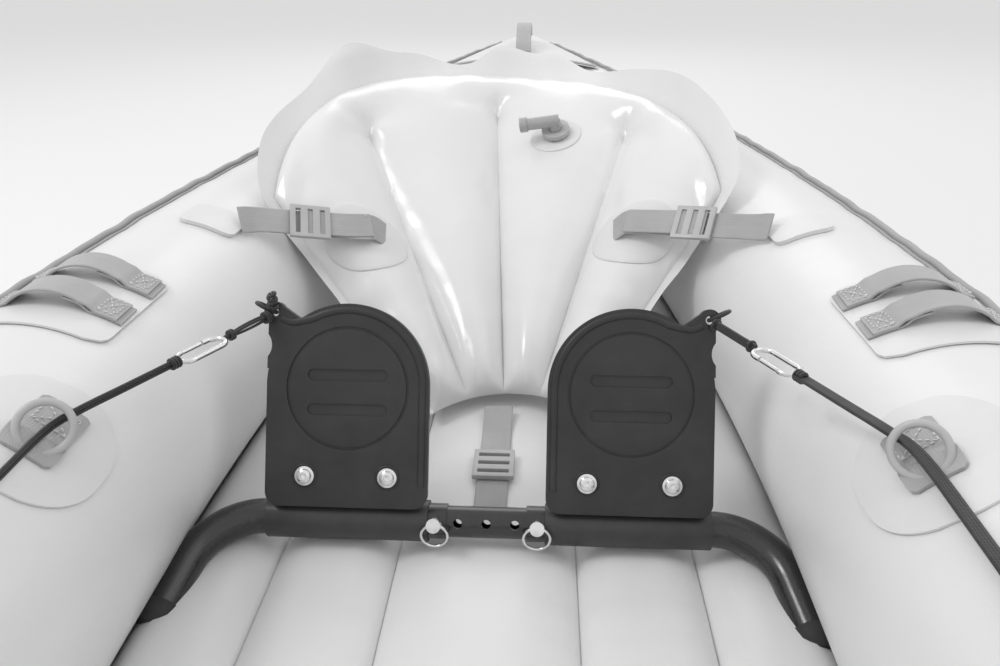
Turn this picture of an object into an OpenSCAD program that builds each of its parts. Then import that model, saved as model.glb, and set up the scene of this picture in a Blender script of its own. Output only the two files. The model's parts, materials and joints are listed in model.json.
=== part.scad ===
/* [Hull] */
// Length of the hull from stern to bow
hull_length = 4050; // [4040:10:4060]
// Radius of a side tube amidships
tube_r = 105; // [104:0.5:105]
// Half-width of the hull at the edge tape amidships
edge_half_w = 337; // [337:1:340]
// How far the tube axes rise at the bow and stern
end_rise = 88; // [86:1:90]
// Thickness of the coated fabric
skin_t = 1.6; // [1.2:0.1:1.8]

/* [Floor] */
// Thickness of the inflated floor at the crown of a chamber
floor_t = 75; // [72:1:75]
// Depth of the groove over each welded seam
seam_depth = 11; // [6:1:14]

/* [Foot brace] */
// Distance of the brace bar ahead of amidships
bar_y = 796; // [794:1:800]
// Height of the bar axis above the ground
bar_z = 91; // [91:0.5:93]
// Outer diameter of the centre tube
center_d = 22; // [22:0.1:22]
// Outer diameter of a leg tube
leg_d = 25; // [25:0.1:25]
// Outer diameter of a pedal sleeve
sleeve_d = 29; // [29:0.5:30]
// Distance of a pedal's middle from the centreline
pedal_x = 98; // [98:1:100]
// Width of a pedal pad
pad_w = 114; // [112:1:116]
// Height of a pedal pad
pad_h = 142; // [140:1:143]
// Thickness of a pedal pad
pad_t = 7; // [6:0.5:7]
// Lean of the pads, top forward
pad_lean = 27; // [26:1:28]

/* [Webbing] */
// Width of the webbing straps
web_w = 25; // [20:1:26]
// Thickness of the webbing
web_t = 1.8; // [1.4:0.1:2]

/* [Seat] */
// Width of the seat cushion
seat_w = 360; // [340:5:364]
// Length of the seat cushion
seat_len = 400; // [380:5:410]
// Height of the seat back
back_h = 360; // [330:5:370]
// Width of the seat back at its middle
back_w = 420; // [400:5:430]

/* [Rudder] */
// Length of the rudder blade below its pivot
blade_len = 330; // [300:5:340]
// Width of the rudder blade
blade_w = 110; // [100:2:120]
// Lift of the stowed blade's tip above level
stow_angle = 18; // [16:1:24]

/* [Hidden] */
half_len = hull_length / 2;
mid_share = 0.367;
tube_z = 140;
tube_taper = 48;
tape_lean = 0.34;
crown_t = floor_t / 2;
floor_drop = 102.5;
floor_inset = 0.638;
tape_angle = 70;
line_angle = 129;
seams = [-1, -0.635, -0.274, 0.274, 0.635, 1];
outer_crown = (seams[4] + seams[5]) / 2;
left = -1;
right = 1;
fine = 48;
gap = 0.4;
pad_rise = 11;
pad_front = 17;
pad_back = pad_front - pad_t;
ear_x = 52.5;
ear_h = 135;
screw_x = 29;
screw_h = 21.5;
circle_h = 83;
circle_r = 43;
sleeve_in = 41;
sleeve_out = 156;
collar_in = 28;
bend_x = 157;
bend_r = 48;
bend_turn = 80;
leg_dip = 17;
leg_tail = 32;
pin_x = 35.5;
pin_tilt = 31;
clip_len = 35;
ring_y = 706;
ring_r = 13.6;
ring_wire = 2.2;
ring_off = 13;
fan_apex = [10, 880, 48];
fan_turn = -3.5;
fan_lean = 27.1;
fan_in = 100;
fan_out = 552;
fan_side = 330;
fan_half = 38;
fan_lip = 32;
fan_curl = 0.0018;
patch_a = 28;
patch_r = 272;
valve_fan_a = 8.9;
valve_fan_r = 412;
fan_lip_a = 2;
post_y = -2054;
bracket_reach = 22;
post_z = 262;
blade_y = post_y - 64;
blade_z = post_z + 4;

// ---- hull form: every value follows from the distance y ahead of amidships ----
function clamp(v, lo, hi) = min(hi, max(lo, v));
function endness(y) = clamp((abs(y) / half_len - mid_share) / (1 - mid_share), 0, 1);
function nose(y) = sqrt(max(0.02, 1 - pow(max(0, abs(y) / half_len - 0.975) / 0.025, 2)));
function tape_x(y) = edge_half_w * (1 - pow(endness(y), 1.85));
function full_r(y) = tube_r - tube_taper * pow(endness(y), 2);
function rr(y) = full_r(y) * nose(y);
function axis_z(y) = tube_z + end_rise * pow(endness(y), 2);
function axis_x(y) = max(gap, tape_x(y) - tape_lean * full_r(y));
function floor_z(y) = axis_z(y) - floor_drop * full_r(y) / tube_r;
function on_tube(side, y, a, off) = [side * max(gap, axis_x(y) + (rr(y) + off) * cos(a)), y,
    axis_z(y) + (rr(y) + off) * sin(a)];

// ---- solids from rings of points ----
function ring_faces(n, m) = [for (i = [0:n - 2]) for (j = [0:m - 1])
    [i * m + j, (i + 1) * m + j, (i + 1) * m + (j + 1) % m, i * m + (j + 1) % m]];
function flat(list) = [for (part = list) for (p = part) p];
module loft(rings) {
    n = len(rings);
    m = len(rings[0]);
    first = [for (j = [0:m - 1]) j];
    last = [for (j = [m - 1:-1:0]) (n - 1) * m + j];
    polyhedron(flat(rings), concat([first, last], ring_faces(n, m)));
}
function unit(v) = v / norm(v);
function along(pts, i) = unit(pts[min(i + 1, len(pts) - 1)] - pts[max(i - 1, 0)]);
// A flat strap of width w and thickness t along pts; across points along its width.
module ribbon(pts, across, w, t) {
    loft([for (i = [0:len(pts) - 1])
        let (n = unit(cross(along(pts, i), across)), a = unit(cross(n, along(pts, i))))
        [pts[i] + a * w / 2 + n * t / 2, pts[i] + a * w / 2 - n * t / 2,
            pts[i] - a * w / 2 - n * t / 2, pts[i] - a * w / 2 + n * t / 2]]);
}
// A cord of width w and height h along pts.
module cord(pts, w, h, across, sides = 8) {
    loft([for (i = [0:len(pts) - 1])
        let (n = unit(cross(along(pts, i), across)), a = unit(cross(n, along(pts, i))))
        [for (k = [0:sides - 1]) let (g = 360 * (k + 0.5) / sides)
            pts[i] + a * cos(g) * w / 2 - n * sin(g) * h / 2]]);
}
// A sheet of thickness t lying off above a tube, between two stations and two angles.
module tube_sheet(side, y0, y1, a0, a1, off, t, ny = 3, na = 10, arch = 0) {
    turn = side == right ? [0:1:na] : [na:-1:0];
    back = side == right ? [na:-1:0] : [0:1:na];
    loft([for (i = [0:ny]) let (y = y0 + (y1 - y0) * i / ny) concat(
        [for (k = turn) on_tube(side, y, a0 + (a1 - a0) * k / na, off + t + arch * sin(180 * k / na))],
        [for (k = back) on_tube(side, y, a0 + (a1 - a0) * k / na, off + arch * sin(180 * k / na))])]);
}
// Patches of fabric wrapped on both tubes, where they are nearly straight.
module tube_patches(y0, y1, a0, a1, off, t) {
    mid = (y0 + y1) / 2;
    yaw = atan((axis_x(y1) - axis_x(y0)) / (y1 - y0));
    for (s = [0, 1]) mirror([s, 0, 0]) translate([axis_x(mid), mid, axis_z(mid)]) rotate([0, 0, -yaw])
        rotate([90, 0, 0]) rotate([0, 0, a0]) rotate_extrude(angle = a1 - a0, $fn = 180)
        translate([rr(mid) + off, (y0 - y1) / 2]) square([t, y1 - y0]);
}
// A plump cushion: a rounded slab with a crowned top and bottom.
module plump(w, l, t, n = 12) {
    function edge(v) = pow(max(0, 1 - pow(abs(v), 5)), 0.5);
    loft([for (i = [0:n]) let (v = sin(-90 + 180 * i / n), e = max(0.06, edge(v)))
        [for (k = [0:27]) let (g = -360 * k / 28, c = cos(g), s = sin(g))
            [w / 2 * (0.72 + 0.28 * e) * sign(c) * pow(abs(c), 0.45), l / 2 * v,
                t / 2 * e * sign(s) * pow(abs(s), 0.6)]]]);
}

// ---- hull ----
module side_tube(side) {
    n = 46;
    m = 22;
    color("whitesmoke") loft([for (i = [0:n])
        let (u = -1 + 2 * i / n, y = half_len * u * (3 - u * u) / 2)
        [for (k = [0:m - 1]) on_tube(side, y, side * 360 * k / m, 0)]]);
}
// How round a chamber is at v: 1 at its crown and 0 at its seams.
function lobe(v) = let (i = v < seams[1] ? 0 : v < seams[2] ? 1 : v < seams[3] ? 2 : v < seams[4] ? 3 : 4,
    c = (seams[i] + seams[i + 1]) / 2, h = (seams[i + 1] - seams[i]) / 2)
    min(1, 1.08 * sqrt(max(0, 1 - pow((v - c) / h, 2))));
function floor_half_t(v, y) = full_r(y) / tube_r
    * (abs(v) > outer_crown ? crown_t * max(0.3, lobe(v)) : crown_t - seam_depth * (1 - lobe(v)));
// The floor thins towards the ends, where the tubes close in on it.
floor_reach = 1800;
floor_step = 150;
thin_from = 1560;
function thinned(y) = 1 - 0.6 * pow(clamp((abs(y) - thin_from) / (floor_reach - thin_from), 0, 1), 2);
module floor_chamber() {
    n = 2 * floor_reach / floor_step;
    end_share = 0.25;
    vs = [-1, -0.96, -0.9, outer_crown * -1, -0.71, -0.635, -0.56, -0.455, -0.35, -0.274, -0.2, -0.1, 0,
        0.1, 0.2, 0.274, 0.35, 0.455, 0.56, 0.635, 0.71, outer_crown, 0.9, 0.96, 1];
    color("gainsboro") loft([for (i = [0:n])
        let (y = floor_step * i - floor_reach, hw = axis_x(y) - floor_inset * full_r(y),
            e = thinned(y) * (i == 0 || i == n ? end_share : 1))
        concat([for (v = vs) [hw * v, y, floor_z(y) + e * floor_half_t(v, y)]],
            [for (k = [len(vs) - 1:-1:0]) let (v = vs[k])
                [hw * v, y, floor_z(y) - e * floor_half_t(v, y)]])]);
}
module floor_joint_strips() {
    n = 2 * floor_reach / floor_step;
    color("silver") for (side = [left, right]) loft([for (i = [1:n - 1])
        let (y = floor_step * i - floor_reach, x0 = axis_x(y) - (floor_inset - 0.006) * full_r(y),
            x1 = axis_x(y) - 0.36 * full_r(y), z = floor_z(y))
        side == right ? [[x0, y, z + 1.5], [x1, y, z + 1.5], [x1, y, z - 1.5], [x0, y, z - 1.5]]
            : [[-x1, y, z + 1.5], [-x0, y, z + 1.5], [-x0, y, z - 1.5], [-x1, y, z - 1.5]]]);
}
module edge_tapes() {
    reach = half_len * 0.955;
    bead = 6;
    n = 44;
    color("darkgray") for (side = [left, right])
        cord([for (i = [0:n]) on_tube(side, reach * (2 * i / n - 1), tape_angle, gap + bead / 2)],
            bead, bead, [0, 0, 1]);
}
module deck(end) {
    y0 = 1690;
    y1 = 1985;
    n = 8;
    rings = [for (i = [0:n]) let (y = y0 + (y1 - y0) * i / n, w = 0.85 * tape_x(y),
        z = axis_z(y) + rr(y) + 0.8, c = 12 * w / 115)
        concat([for (v = [-1:0.25:1]) [end * w * v, end * y, z + skin_t + c * (1 - v * v)]],
            [for (v = [1:-0.25:-1]) [end * w * v, end * y, z + c * (1 - v * v)]])];
    color("white") loft(rings);
}
module bow_deck() {
    deck(1);
}
module stern_deck() {
    deck(-1);
}
module grab_handle(end) {
    y0 = 1745;
    y1 = 1905;
    rise = 30;
    base = 16;
    pts = [for (i = [0:14]) let (v = i / 14, y = y0 + (y1 - y0) * v,
        z = axis_z(y) + rr(y) + skin_t + base + rise * pow(sin(180 * v), 0.7)) [0, end * y, z]];
    color("silver") ribbon(pts, [1, 0, 0], web_w, web_t + 1);
}
module bow_handle() {
    grab_handle(1);
}
module stern_handle() {
    grab_handle(-1);
}

// ---- webbing and rings on the side tubes ----
module gear_loop_patches() {
    color("whitesmoke") tube_patches(788, 888, 74, 122, 2 * gap, skin_t);
}
module gear_loops() {
    loop_y = [826, 868];
    color("silver") for (side = [left, right]) for (y = loop_y)
        tube_sheet(side, y - web_w / 2, y + web_w / 2, 78, 112, 2 * gap + skin_t + 0.4, web_t, ny = 2,
            na = 10,
            arch = 9);
}
function ring_center(side) = on_tube(side, ring_y - 12, line_angle, ring_off);
module line_ring_patches() {
    color("whitesmoke") {
        tube_patches(ring_y - 52, ring_y + 38, line_angle - 26, line_angle + 22, gap, skin_t);
        tube_patches(ring_y - 24, ring_y + 14, line_angle - 10, line_angle + 10, 2 * gap + skin_t, web_t);
    }
}
module wire_ring(r, wire) {
    rotate_extrude($fn = fine) translate([r, 0]) circle(r = wire, $fn = 16);
}
module line_ring(side) {
    color("gray") translate(ring_center(side)) rotate([0, 60, -90 - side * 36]) wire_ring(ring_r,
        ring_wire);
}
module left_line_ring() {
    line_ring(left);
}
module right_line_ring() {
    line_ring(right);
}
guide_ys = [60, -560, -1160];
module stern_line_guides() {
    color("silver") for (side = [left, right]) for (y = guide_ys)
        tube_sheet(side, y - 10, y + 10, line_angle - 9, line_angle + 9, gap, web_t, ny = 1, na = 10,
            arch = 11);
}
module valve_body(d) {
    rotate_extrude($fn = fine) polygon([[0, 0], [d / 2, 0], [d / 2, 1.2], [d / 2 - 3, 2.6],
        [d * 0.3, 3.4], [d * 0.3, 7], [d * 0.26, 8.4], [0, 8.4]]);
}
module tube_valves() {
    valve_y = -470;
    valve_a = 107;
    color("dimgray") for (side = [left, right])
        translate(on_tube(side, valve_y, valve_a, gap)) rotate([0, side * (90 - valve_a), 0])
            valve_body(46);
}
module floor_valve() {
    color("dimgray") translate([0, -720, floor_z(0) + crown_t + gap]) valve_body(46);
}

// ---- bow cushion: radial chambers in a leaning fan ----
function lobe_fan(a) = let (v = (a + fan_half) / (fan_half / 2)) abs(sin(180 * v));
// The outline is an arch: longest in the middle, shorter over the side tubes.
function fan_rim(a) = fan_side + (fan_out - fan_side) * pow(max(0, cos(2.25 * a)), 1.1);
function fan_r(a, q) = fan_in + q * (fan_rim(a) - fan_in);
function fan_env(q) = pow(max(0, 1 - pow(abs(2 * clamp(q, 0, 1) - 1), 5)), 0.5);
function fan_t(a, q) = abs(a) >= fan_half || q >= 1 ? 1
    : 1 + fan_env(q) * (9 + 22 * pow(lobe_fan(a), 0.6)) * (abs(a) > fan_half * 0.98 ? 0.3 : 1);
function fan_point(a, r, h) = let (x = r * sin(a + fan_turn), s = r * cos(a + fan_turn),
    up = h + fan_curl * pow(fan_apex[0] + x, 2))
    fan_apex + [x, s * cos(fan_lean) - up * sin(fan_lean), s * sin(fan_lean) + up * cos(fan_lean)];
module bow_cushion() {
    below = 0.5;
    as = concat([-fan_half - fan_lip_a], [for (i = [-12:12]) fan_half * i / 12], [fan_half + fan_lip_a]);
    qs = concat([0, 0.035, 0.11], [for (i = [1:8]) 0.11 + i * 0.103], [0.97, 1]);
    rows = concat([for (q = qs) [for (a = as) [a, fan_r(a, q), fan_t(a, q)]]],
        [[for (a = as) [a, fan_rim(a) + fan_lip, 1]]]);
    color("whitesmoke") loft([for (row = rows) concat([for (c = row) fan_point(c[0], c[1], c[2])],
        [for (i = [len(row) - 1:-1:0]) let (c = row[i]) fan_point(c[0], c[1], -below * c[2])])]);
}
// Places its children on the fan, square to its skin there.
module on_fan(a, r, h) {
    p = fan_point(a, r, h);
    translate(p) rotate([fan_lean, 0, 0]) rotate([0, -atan(2 * fan_curl * p[0]), 0]) children();
}
module cushion_patches() {
    color("white") for (side = [left, right]) on_fan(side * patch_a, patch_r, 34.5)
        cylinder(d = 60, h = skin_t, $fn = fine);
    color("white") on_fan(valve_fan_a, valve_fan_r, 34) cylinder(d = 52, h = skin_t, $fn = fine);
}
module valve_place() {
    on_fan(valve_fan_a, valve_fan_r, 36) children();
}
module cushion_valve_base() {
    color("gray") valve_place() difference() {
        cylinder(d = 30, h = 5, $fn = fine);
        translate([0, 0, 1]) cylinder(d = 14.1, h = 5, $fn = fine);
    }
}
module cushion_valve_elbow() {
    color("lightgray") valve_place() {
        translate([0, 0, 1.2]) cylinder(d = 14, h = 8.8, $fn = fine);
        translate([5, 0, 15]) rotate([0, -90, 0]) cylinder(d = 13, h = 34, $fn = fine);
        translate([-29, 0, 15]) rotate([0, -90, 0]) cylinder(d = 16, h = 8, $fn = fine);
        translate([0, 0, 9]) cylinder(d = 13, h = 6, $fn = fine);
    }
}
side_strap_across = [0, 0.8, 0.6];
function side_strap_pts(side) = [fan_point(side * (patch_a - 2), patch_r, 42),
    fan_point(side * (patch_a + 1), patch_r, 42.5), [side * 208, 1022, 236], [side * 228, 1005, 242]];
// Places its children on the outer face of a strap: x across it, y along it, a share of the way from p to q.
module on_strap(p, q, across, share) {
    d = unit(q - p);
    n = unit(cross(d, across)) * (cross(d, across)[2] > 0 ? 1 : -1);
    x = cross(d, n);
    c = p + (q - p) * share + n * (web_t / 2 + gap);
    multmatrix([[x[0], d[0], n[0], c[0]], [x[1], d[1], n[1], c[1]], [x[2], d[2], n[2], c[2]]]) children();
}
module cushion_side_straps() {
    color("silver") for (side = [left, right]) {
        ribbon(side_strap_pts(side), side_strap_across, web_w, web_t);
        tube_sheet(side, 985, 1025, 96, 122, gap, skin_t, ny = 1, na = 5);
    }
}
module ladder_lock(w, l) {
    difference() {
        translate([-w / 2, -l / 2, 0]) cube([w, l, 4]);
        for (s = [-1, 0, 1]) translate([-w / 2 + 4, s * l * 0.3 - 2.2, -1]) cube([w - 8, 4.4, 6]);
    }
}
module cushion_side_buckles() {
    color("darkgray") for (side = [left, right]) let (p = side_strap_pts(side))
        on_strap(p[1], p[2], side_strap_across, 0.55) ladder_lock(33, 36);
}
// Height of the middle chamber's crown, plus half the strap and a gap.
function strap_z(y) = floor_z(y) + crown_t * full_r(y) / tube_r + web_t / 2 + 2 * gap;
module cushion_floor_strap() {
    pts = concat([for (y = [822, 850, 876, 902, 930]) [0, y, strap_z(y)]], [[0, 958, strap_z(958) + 6]]);
    color("silver") ribbon(pts, [1, 0, 0], web_w, web_t);
}
module floor_strap_buckle() {
    color("darkgray") translate([0, 878, strap_z(902) + web_t / 2 + gap]) ladder_lock(33, 36);
}

// ---- foot brace ----
module center_tube() {
    half = 120;
    hole_pitch = 20;
    color("#1c1c1e") difference() {
        translate([-half, bar_y, bar_z]) rotate([0, 90, 0]) cylinder(d = center_d, h = 2 * half,
            $fn = fine);
        translate([-half - 1, bar_y, bar_z]) rotate([0, 90, 0]) cylinder(d = center_d - 3,
            h = 2 * half + 2, $fn = fine);
        for (i = [-1:1]) translate([i * hole_pitch, bar_y, bar_z]) rotate([90 - pin_tilt, 0, 0])
            cylinder(d = 6.4, h = 40, center = true, $fn = fine);
        for (side = [left, right]) translate([side * pin_x, bar_y, bar_z]) rotate([90 - pin_tilt, 0, 0])
            cylinder(d = 6.4, h = 40, center = true, $fn = fine);
    }
}
leg_wall = (leg_d - center_d) / 2 - 0.06;
// The bend turns the tube aft, in a plane that dips towards the crevice beside the floor.
module leg_bend() {
    translate([bend_x, 0, 0]) rotate([leg_dip, 0, 0]) translate([0, -bend_r, 0])
        rotate([0, 0, 90 - bend_turn]) children();
}
module leg_end() {
    translate([bend_x, 0, 0]) rotate([leg_dip, 0, 0]) translate([0, -bend_r, 0])
        rotate([0, 0, -bend_turn]) translate([0, bend_r, 0]) rotate([0, 90, 0]) children();
}
module leg_path(d, over) {
    translate([collar_in - over, 0, 0]) rotate([0, 90, 0])
        cylinder(d = d, h = bend_x - collar_in + over, $fn = fine);
    leg_bend() rotate_extrude(angle = bend_turn, $fn = 72) translate([bend_r, 0])
        circle(d = d, $fn = fine);
    leg_end() cylinder(d = d, h = leg_tail + over, $fn = fine);
}
module leg_tube() {
    color("#141416") difference() {
        translate([0, bar_y, bar_z]) leg_path(leg_d, 0);
        translate([0, bar_y, bar_z]) leg_path(leg_d - 2 * leg_wall, 1);
        translate([pin_x, bar_y, bar_z]) rotate([90 - pin_tilt, 0, 0]) cylinder(d = 6.4, h = 40,
            center = true, $fn = fine);
    }
}
module left_leg_tube() {
    mirror([1, 0, 0]) leg_tube();
}
module right_leg_tube() {
    leg_tube();
}
module leg_tube_feet() {
    color("#101012") for (s = [0, 1]) mirror([s, 0, 0]) translate([0, bar_y, bar_z]) leg_end()
        translate([0, 0, leg_tail + 0.2]) rotate_extrude($fn = fine)
        polygon([[0, 0], [leg_d / 2 + 1, 0], [leg_d / 2 + 1, 8], [leg_d / 2 - 3, 15], [0, 17]]);
}
// Places its children in a pad's own plane: x across, y up the pad, z out of its front face.
module pad_plane(side) {
    translate([side * pedal_x, bar_y, bar_z]) rotate([90 - pad_lean, 0, 0]) translate([0, pad_rise, 0])
        children();
}
module pedal_sleeve(side) {
    plate_h = 60;
    color("#2a2a2c") difference() {
        union() {
            translate([side * sleeve_in, bar_y, bar_z]) rotate([0, side * 90, 0])
                cylinder(d = sleeve_d, h = sleeve_out - sleeve_in, $fn = fine);
            pad_plane(side) translate([0, 0, pad_back - 3 - gap]) linear_extrude(3)
                polygon([[-50, -8], [50, -8], [42, 24], [30, plate_h], [-30, plate_h], [-42, 24]]);
            pad_plane(side) translate([-46, -8, 0]) cube([92, 3, pad_back - 3]);
        }
        translate([side * (sleeve_in - 1), bar_y, bar_z]) rotate([0, side * 90, 0])
            cylinder(d = leg_d + 0.16, h = sleeve_out - sleeve_in + 2, $fn = fine);
        pad_plane(side) for (s = [-1, 1]) translate([s * screw_x, screw_h, 0]) cylinder(d = 6.4, h = 30,
            center = true, $fn = fine);
    }
}
module left_pedal_sleeve() {
    mirror([1, 0, 0]) pedal_sleeve(right);
}
module right_pedal_sleeve() {
    pedal_sleeve(right);
}
// Outline: round lower corners, a big arch at the top and an ear on the outer side.
module pad_outline(side) {
    corner = 10;
    arch_r = pad_w / 2;
    translate([-pad_w / 2 + corner, corner]) circle(r = corner, $fn = 32);
    translate([pad_w / 2 - corner, corner]) circle(r = corner, $fn = 32);
    translate([-pad_w / 2 + corner, 0]) square([pad_w - 2 * corner, corner]);
    translate([-pad_w / 2, corner]) square([pad_w, pad_h - arch_r - corner]);
    translate([0, pad_h - arch_r]) circle(r = arch_r, $fn = 96);
    difference() {
        polygon([[0, 84], [side * arch_r, 96], [side * (ear_x + 4), ear_h - 2], [side * (ear_x - 2),
            ear_h + 7],
            [side * 30, 128], [0, 130]]);
        translate([side * (arch_r + 9), 112]) circle(r = 12, $fn = 48);
        translate([side * 36, 147]) circle(r = 12, $fn = 48);
    }
    translate([side * ear_x, ear_h]) circle(r = 7.5, $fn = 32);
}
module pedal_pad(side) {
    slot_h = [-16, 8];
    color("#101011") pad_plane(side) translate([0, 0, pad_back]) difference() {
        linear_extrude(pad_t) pad_outline(side);
        translate([side * ear_x, ear_h, -1]) cylinder(d = 6, h = pad_t + 2, $fn = fine);
        for (s = [-1, 1]) translate([s * screw_x, screw_h, -1]) cylinder(d = 6.4, h = pad_t + 2,
            $fn = fine);
        translate([0, circle_h, pad_t - 1.2]) difference() {
            cylinder(r = circle_r, h = 2, $fn = 96);
            translate([0, 0, -1]) cylinder(r = circle_r - 1.8, h = 4, $fn = 96);
        }
        for (h = slot_h) translate([0, circle_h + h, pad_t - 1.5]) linear_extrude(3) {
            translate([-24, -3]) square([48, 8]);
            for (s = [-1, 1]) translate([s * 24, 1]) circle(d = 8, $fn = 32);
        }
    }
}
module left_pedal_pad() {
    mirror([1, 0, 0]) pedal_pad(right);
}
module right_pedal_pad() {
    pedal_pad(right);
}
module pedal_screws(side) {
    color("silver") pad_plane(side) for (s = [-1, 1]) translate([s * screw_x, screw_h, pad_front]) {
        difference() {
            translate([0, 0, 0.1]) rotate_extrude($fn = fine)
                polygon([[0, 0], [6.8, 0], [6.8, 1], [5.2, 1.2], [4.6, 3], [3, 3.8], [0, 4]]);
            translate([0, 0, 1.6]) cylinder(d = 4.6, h = 4, $fn = 6);
        }
        translate([0, 0, -pad_t - 3.8 - 6]) cylinder(d = 6, h = pad_t + 10, $fn = fine);
        translate([0, 0, -pad_t - 3.8 - 5.2]) cylinder(d = 10, h = 4.8, $fn = 6);
    }
}
module left_pedal_screws() {
    pedal_screws(left);
}
module right_pedal_screws() {
    pedal_screws(right);
}
head_out = 19.8;
module lock_pin(side) {
    color("silver") translate([side * pin_x, bar_y, bar_z]) rotate([90 - pin_tilt, 0, 0]) difference() {
        union() {
            translate([0, 0, -13.6]) cylinder(d = 6, h = 27, $fn = fine);
            translate([0, 0, 13]) cylinder(d = 10, h = 11, $fn = fine);
        }
        translate([0, 0, head_out]) rotate([0, 90, 0]) cylinder(d = 5.4, h = 20, center = true,
            $fn = fine);
    }
}
module left_lock_pin() {
    lock_pin(left);
}
module right_lock_pin() {
    lock_pin(right);
}
pin_hook = [0, bar_y - head_out * cos(pin_tilt), bar_z + head_out * sin(pin_tilt)];
pin_ring_r = 9.2;
module pin_ring(side) {
    color("silver") translate(pin_hook + [side * pin_x, 0, -pin_ring_r]) rotate([90, 0, 0])
        wire_ring(pin_ring_r, 1);
}
module left_pin_ring() {
    pin_ring(left);
}
module right_pin_ring() {
    pin_ring(right);
}

// ---- steering line from each pedal's ear to the rudder ----
function ear(side) = let (h = pad_rise + ear_h, n = pad_back + pad_t / 2)
    [side * (pedal_x + ear_x), bar_y + h * sin(pad_lean) - n * cos(pad_lean), bar_z + h * cos(pad_lean)
        + n * sin(pad_lean)];
function line_dir(side) = unit(ring_center(side) - ear(side));
clip_from = 50;
clip_near = clip_from - 2.4;
clip_far = clip_from + clip_len + 2.4;
module on_line(side, d) {
    v = line_dir(side);
    translate(ear(side) + v * d) rotate([0, 0, atan2(v[1], v[0])]) rotate([0, -asin(v[2]), 0]) children();
}
// A cord loop through the ear's hole and round its outer edge.
module ear_loop(side) {
    loop_r = 7.5;
    loop_turn = 26;
    color("#141414") pad_plane(side) translate([side * ear_x, ear_h, pad_back + pad_t / 2])
        rotate([0, 0, 90 - side * (90 - loop_turn)]) translate([loop_r, 0, 0]) rotate([90, 0, 0])
            wire_ring(loop_r, 1.4);
}
module left_ear_loop() {
    ear_loop(left);
}
module right_ear_loop() {
    ear_loop(right);
}
module left_ear_cord() {
    v = line_dir(left);
    color("#141414") for (s = [-1, 1]) cord([for (d = [15, 26, 37, clip_near])
        ear(left) + v * d + [0, 0, 2.1 * s]],
        3, 3, [1, 0, 0]);
}
module right_ear_strap() {
    v = line_dir(right);
    color("#141414") ribbon([for (d = [15, 31, clip_near]) ear(right) + v * d], [0, 0, 1], 9, 2);
}
// A wire loop, wider at the gate end: two straight sides joined by two half circles.
clip_wire = 1.8;
module bent(r, a0, turn) {
    rotate([0, 0, a0]) rotate_extrude(angle = turn, $fn = 64) translate([r, 0]) circle(r = clip_wire,
        $fn = 16);
}
clip_r = 7;
module rod(p, len) {
    translate(p) rotate([0, 90, 0]) cylinder(r = clip_wire, h = len, $fn = 24);
}
gate_stub = 4;
module carabiner(side) {
    color("silver") on_line(side, clip_from) {
        translate([clip_r, 0, 0]) bent(clip_r, 90, 180);
        translate([clip_len - clip_r, 0, 0]) bent(clip_r, -90, 180);
        rod([clip_r, clip_r, 0], clip_len - 2 * clip_r);
        rod([clip_r, -clip_r, 0], gate_stub);
    }
}
module left_carabiner() {
    carabiner(left);
}
module right_carabiner() {
    carabiner(right);
}
module carabiner_gate(side) {
    color("lightgray") on_line(side, clip_from)
        translate([clip_r + gate_stub + 0.8, -clip_r, 0]) rotate([0, 90, 0])
            cylinder(r = 1.5, h = clip_len - 2 * clip_r - gate_stub - 1.4, $fn = 24);
}
module left_carabiner_gate() {
    carabiner_gate(left);
}
module right_carabiner_gate() {
    carabiner_gate(right);
}
// Stations of the line aft of its ring: [distance ahead of amidships, angle round the tube, height off it].
line_off = 5.6;
line_stops = concat([for (y = [640, 480, 270, 60, -150, -355, -560, -760, -960]) [y, line_angle,
    line_off]],
    [[-1160, 127, line_off], [-1340, 120, line_off], [-1500, 110, line_off], [-1640, 98, 8.5],
    [-1760, 86, 10.5],
        [-1860, 74, 11], [-1950, 62, 11]]);
arm_x = 60;
arm_z = post_z + 10.5;
function line_route(side) = concat([ear(side) + line_dir(side) * clip_far,
    (ear(side) + line_dir(side) * clip_far + ring_center(side)) / 2, ring_center(side)],
    [for (stop = line_stops) on_tube(side, stop[0], stop[1], stop[2])],
    [[side * arm_x, post_y + 9, arm_z]]);
module left_steering_line() {
    color("#141414") cord(line_route(left), 5, 3, [0, 0, 1]);
}
module right_steering_line() {
    color("#141414") cord(line_route(right), 2.4, 8, [0, 0, 1]);
}

// ---- seat behind the foot brace ----
seat_y = -160;
seat_z = floor_z(0) + crown_t + 38;
back_foot = [0, seat_y - seat_len / 2 + 10, seat_z + 42];
back_lean = 14;
module seat_cushion() {
    color("gainsboro") translate([0, seat_y, seat_z]) plump(seat_w, seat_len, 72);
}
module seat_back() {
    color("gainsboro") translate(back_foot) rotate([90 + back_lean, 0, 0])
        translate([0, back_h / 2 + 4, 0])
        plump(back_w * 0.87, back_h, 62);
}
corner_h = 0.72 * back_h;
function back_corner(side) = back_foot
    + [side * (0.43 * back_w + 14), -sin(back_lean) * corner_h, cos(back_lean) * corner_h];
function seat_strap_pts(side) = let (foot = [side * 292, 90, 262])
    [back_corner(side), (back_corner(side) + foot) / 2, foot, [side * 292, 130, 250.5],
        [side * 292, 172, 250.5]];
module seat_back_straps() {
    color("silver") for (side = [left, right]) ribbon(seat_strap_pts(side), [1, 0, 0], web_w, web_t);
}
module seat_strap_buckles() {
    color("dimgray") for (side = [left, right]) let (p = seat_strap_pts(side))
        on_strap(p[1], p[2], [1, 0, 0], 0.6) ladder_lock(33, 36);
}
module seat_strap_patches() {
    color("whitesmoke") tube_patches(110, 190, 74, 112, gap, skin_t);
}

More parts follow.
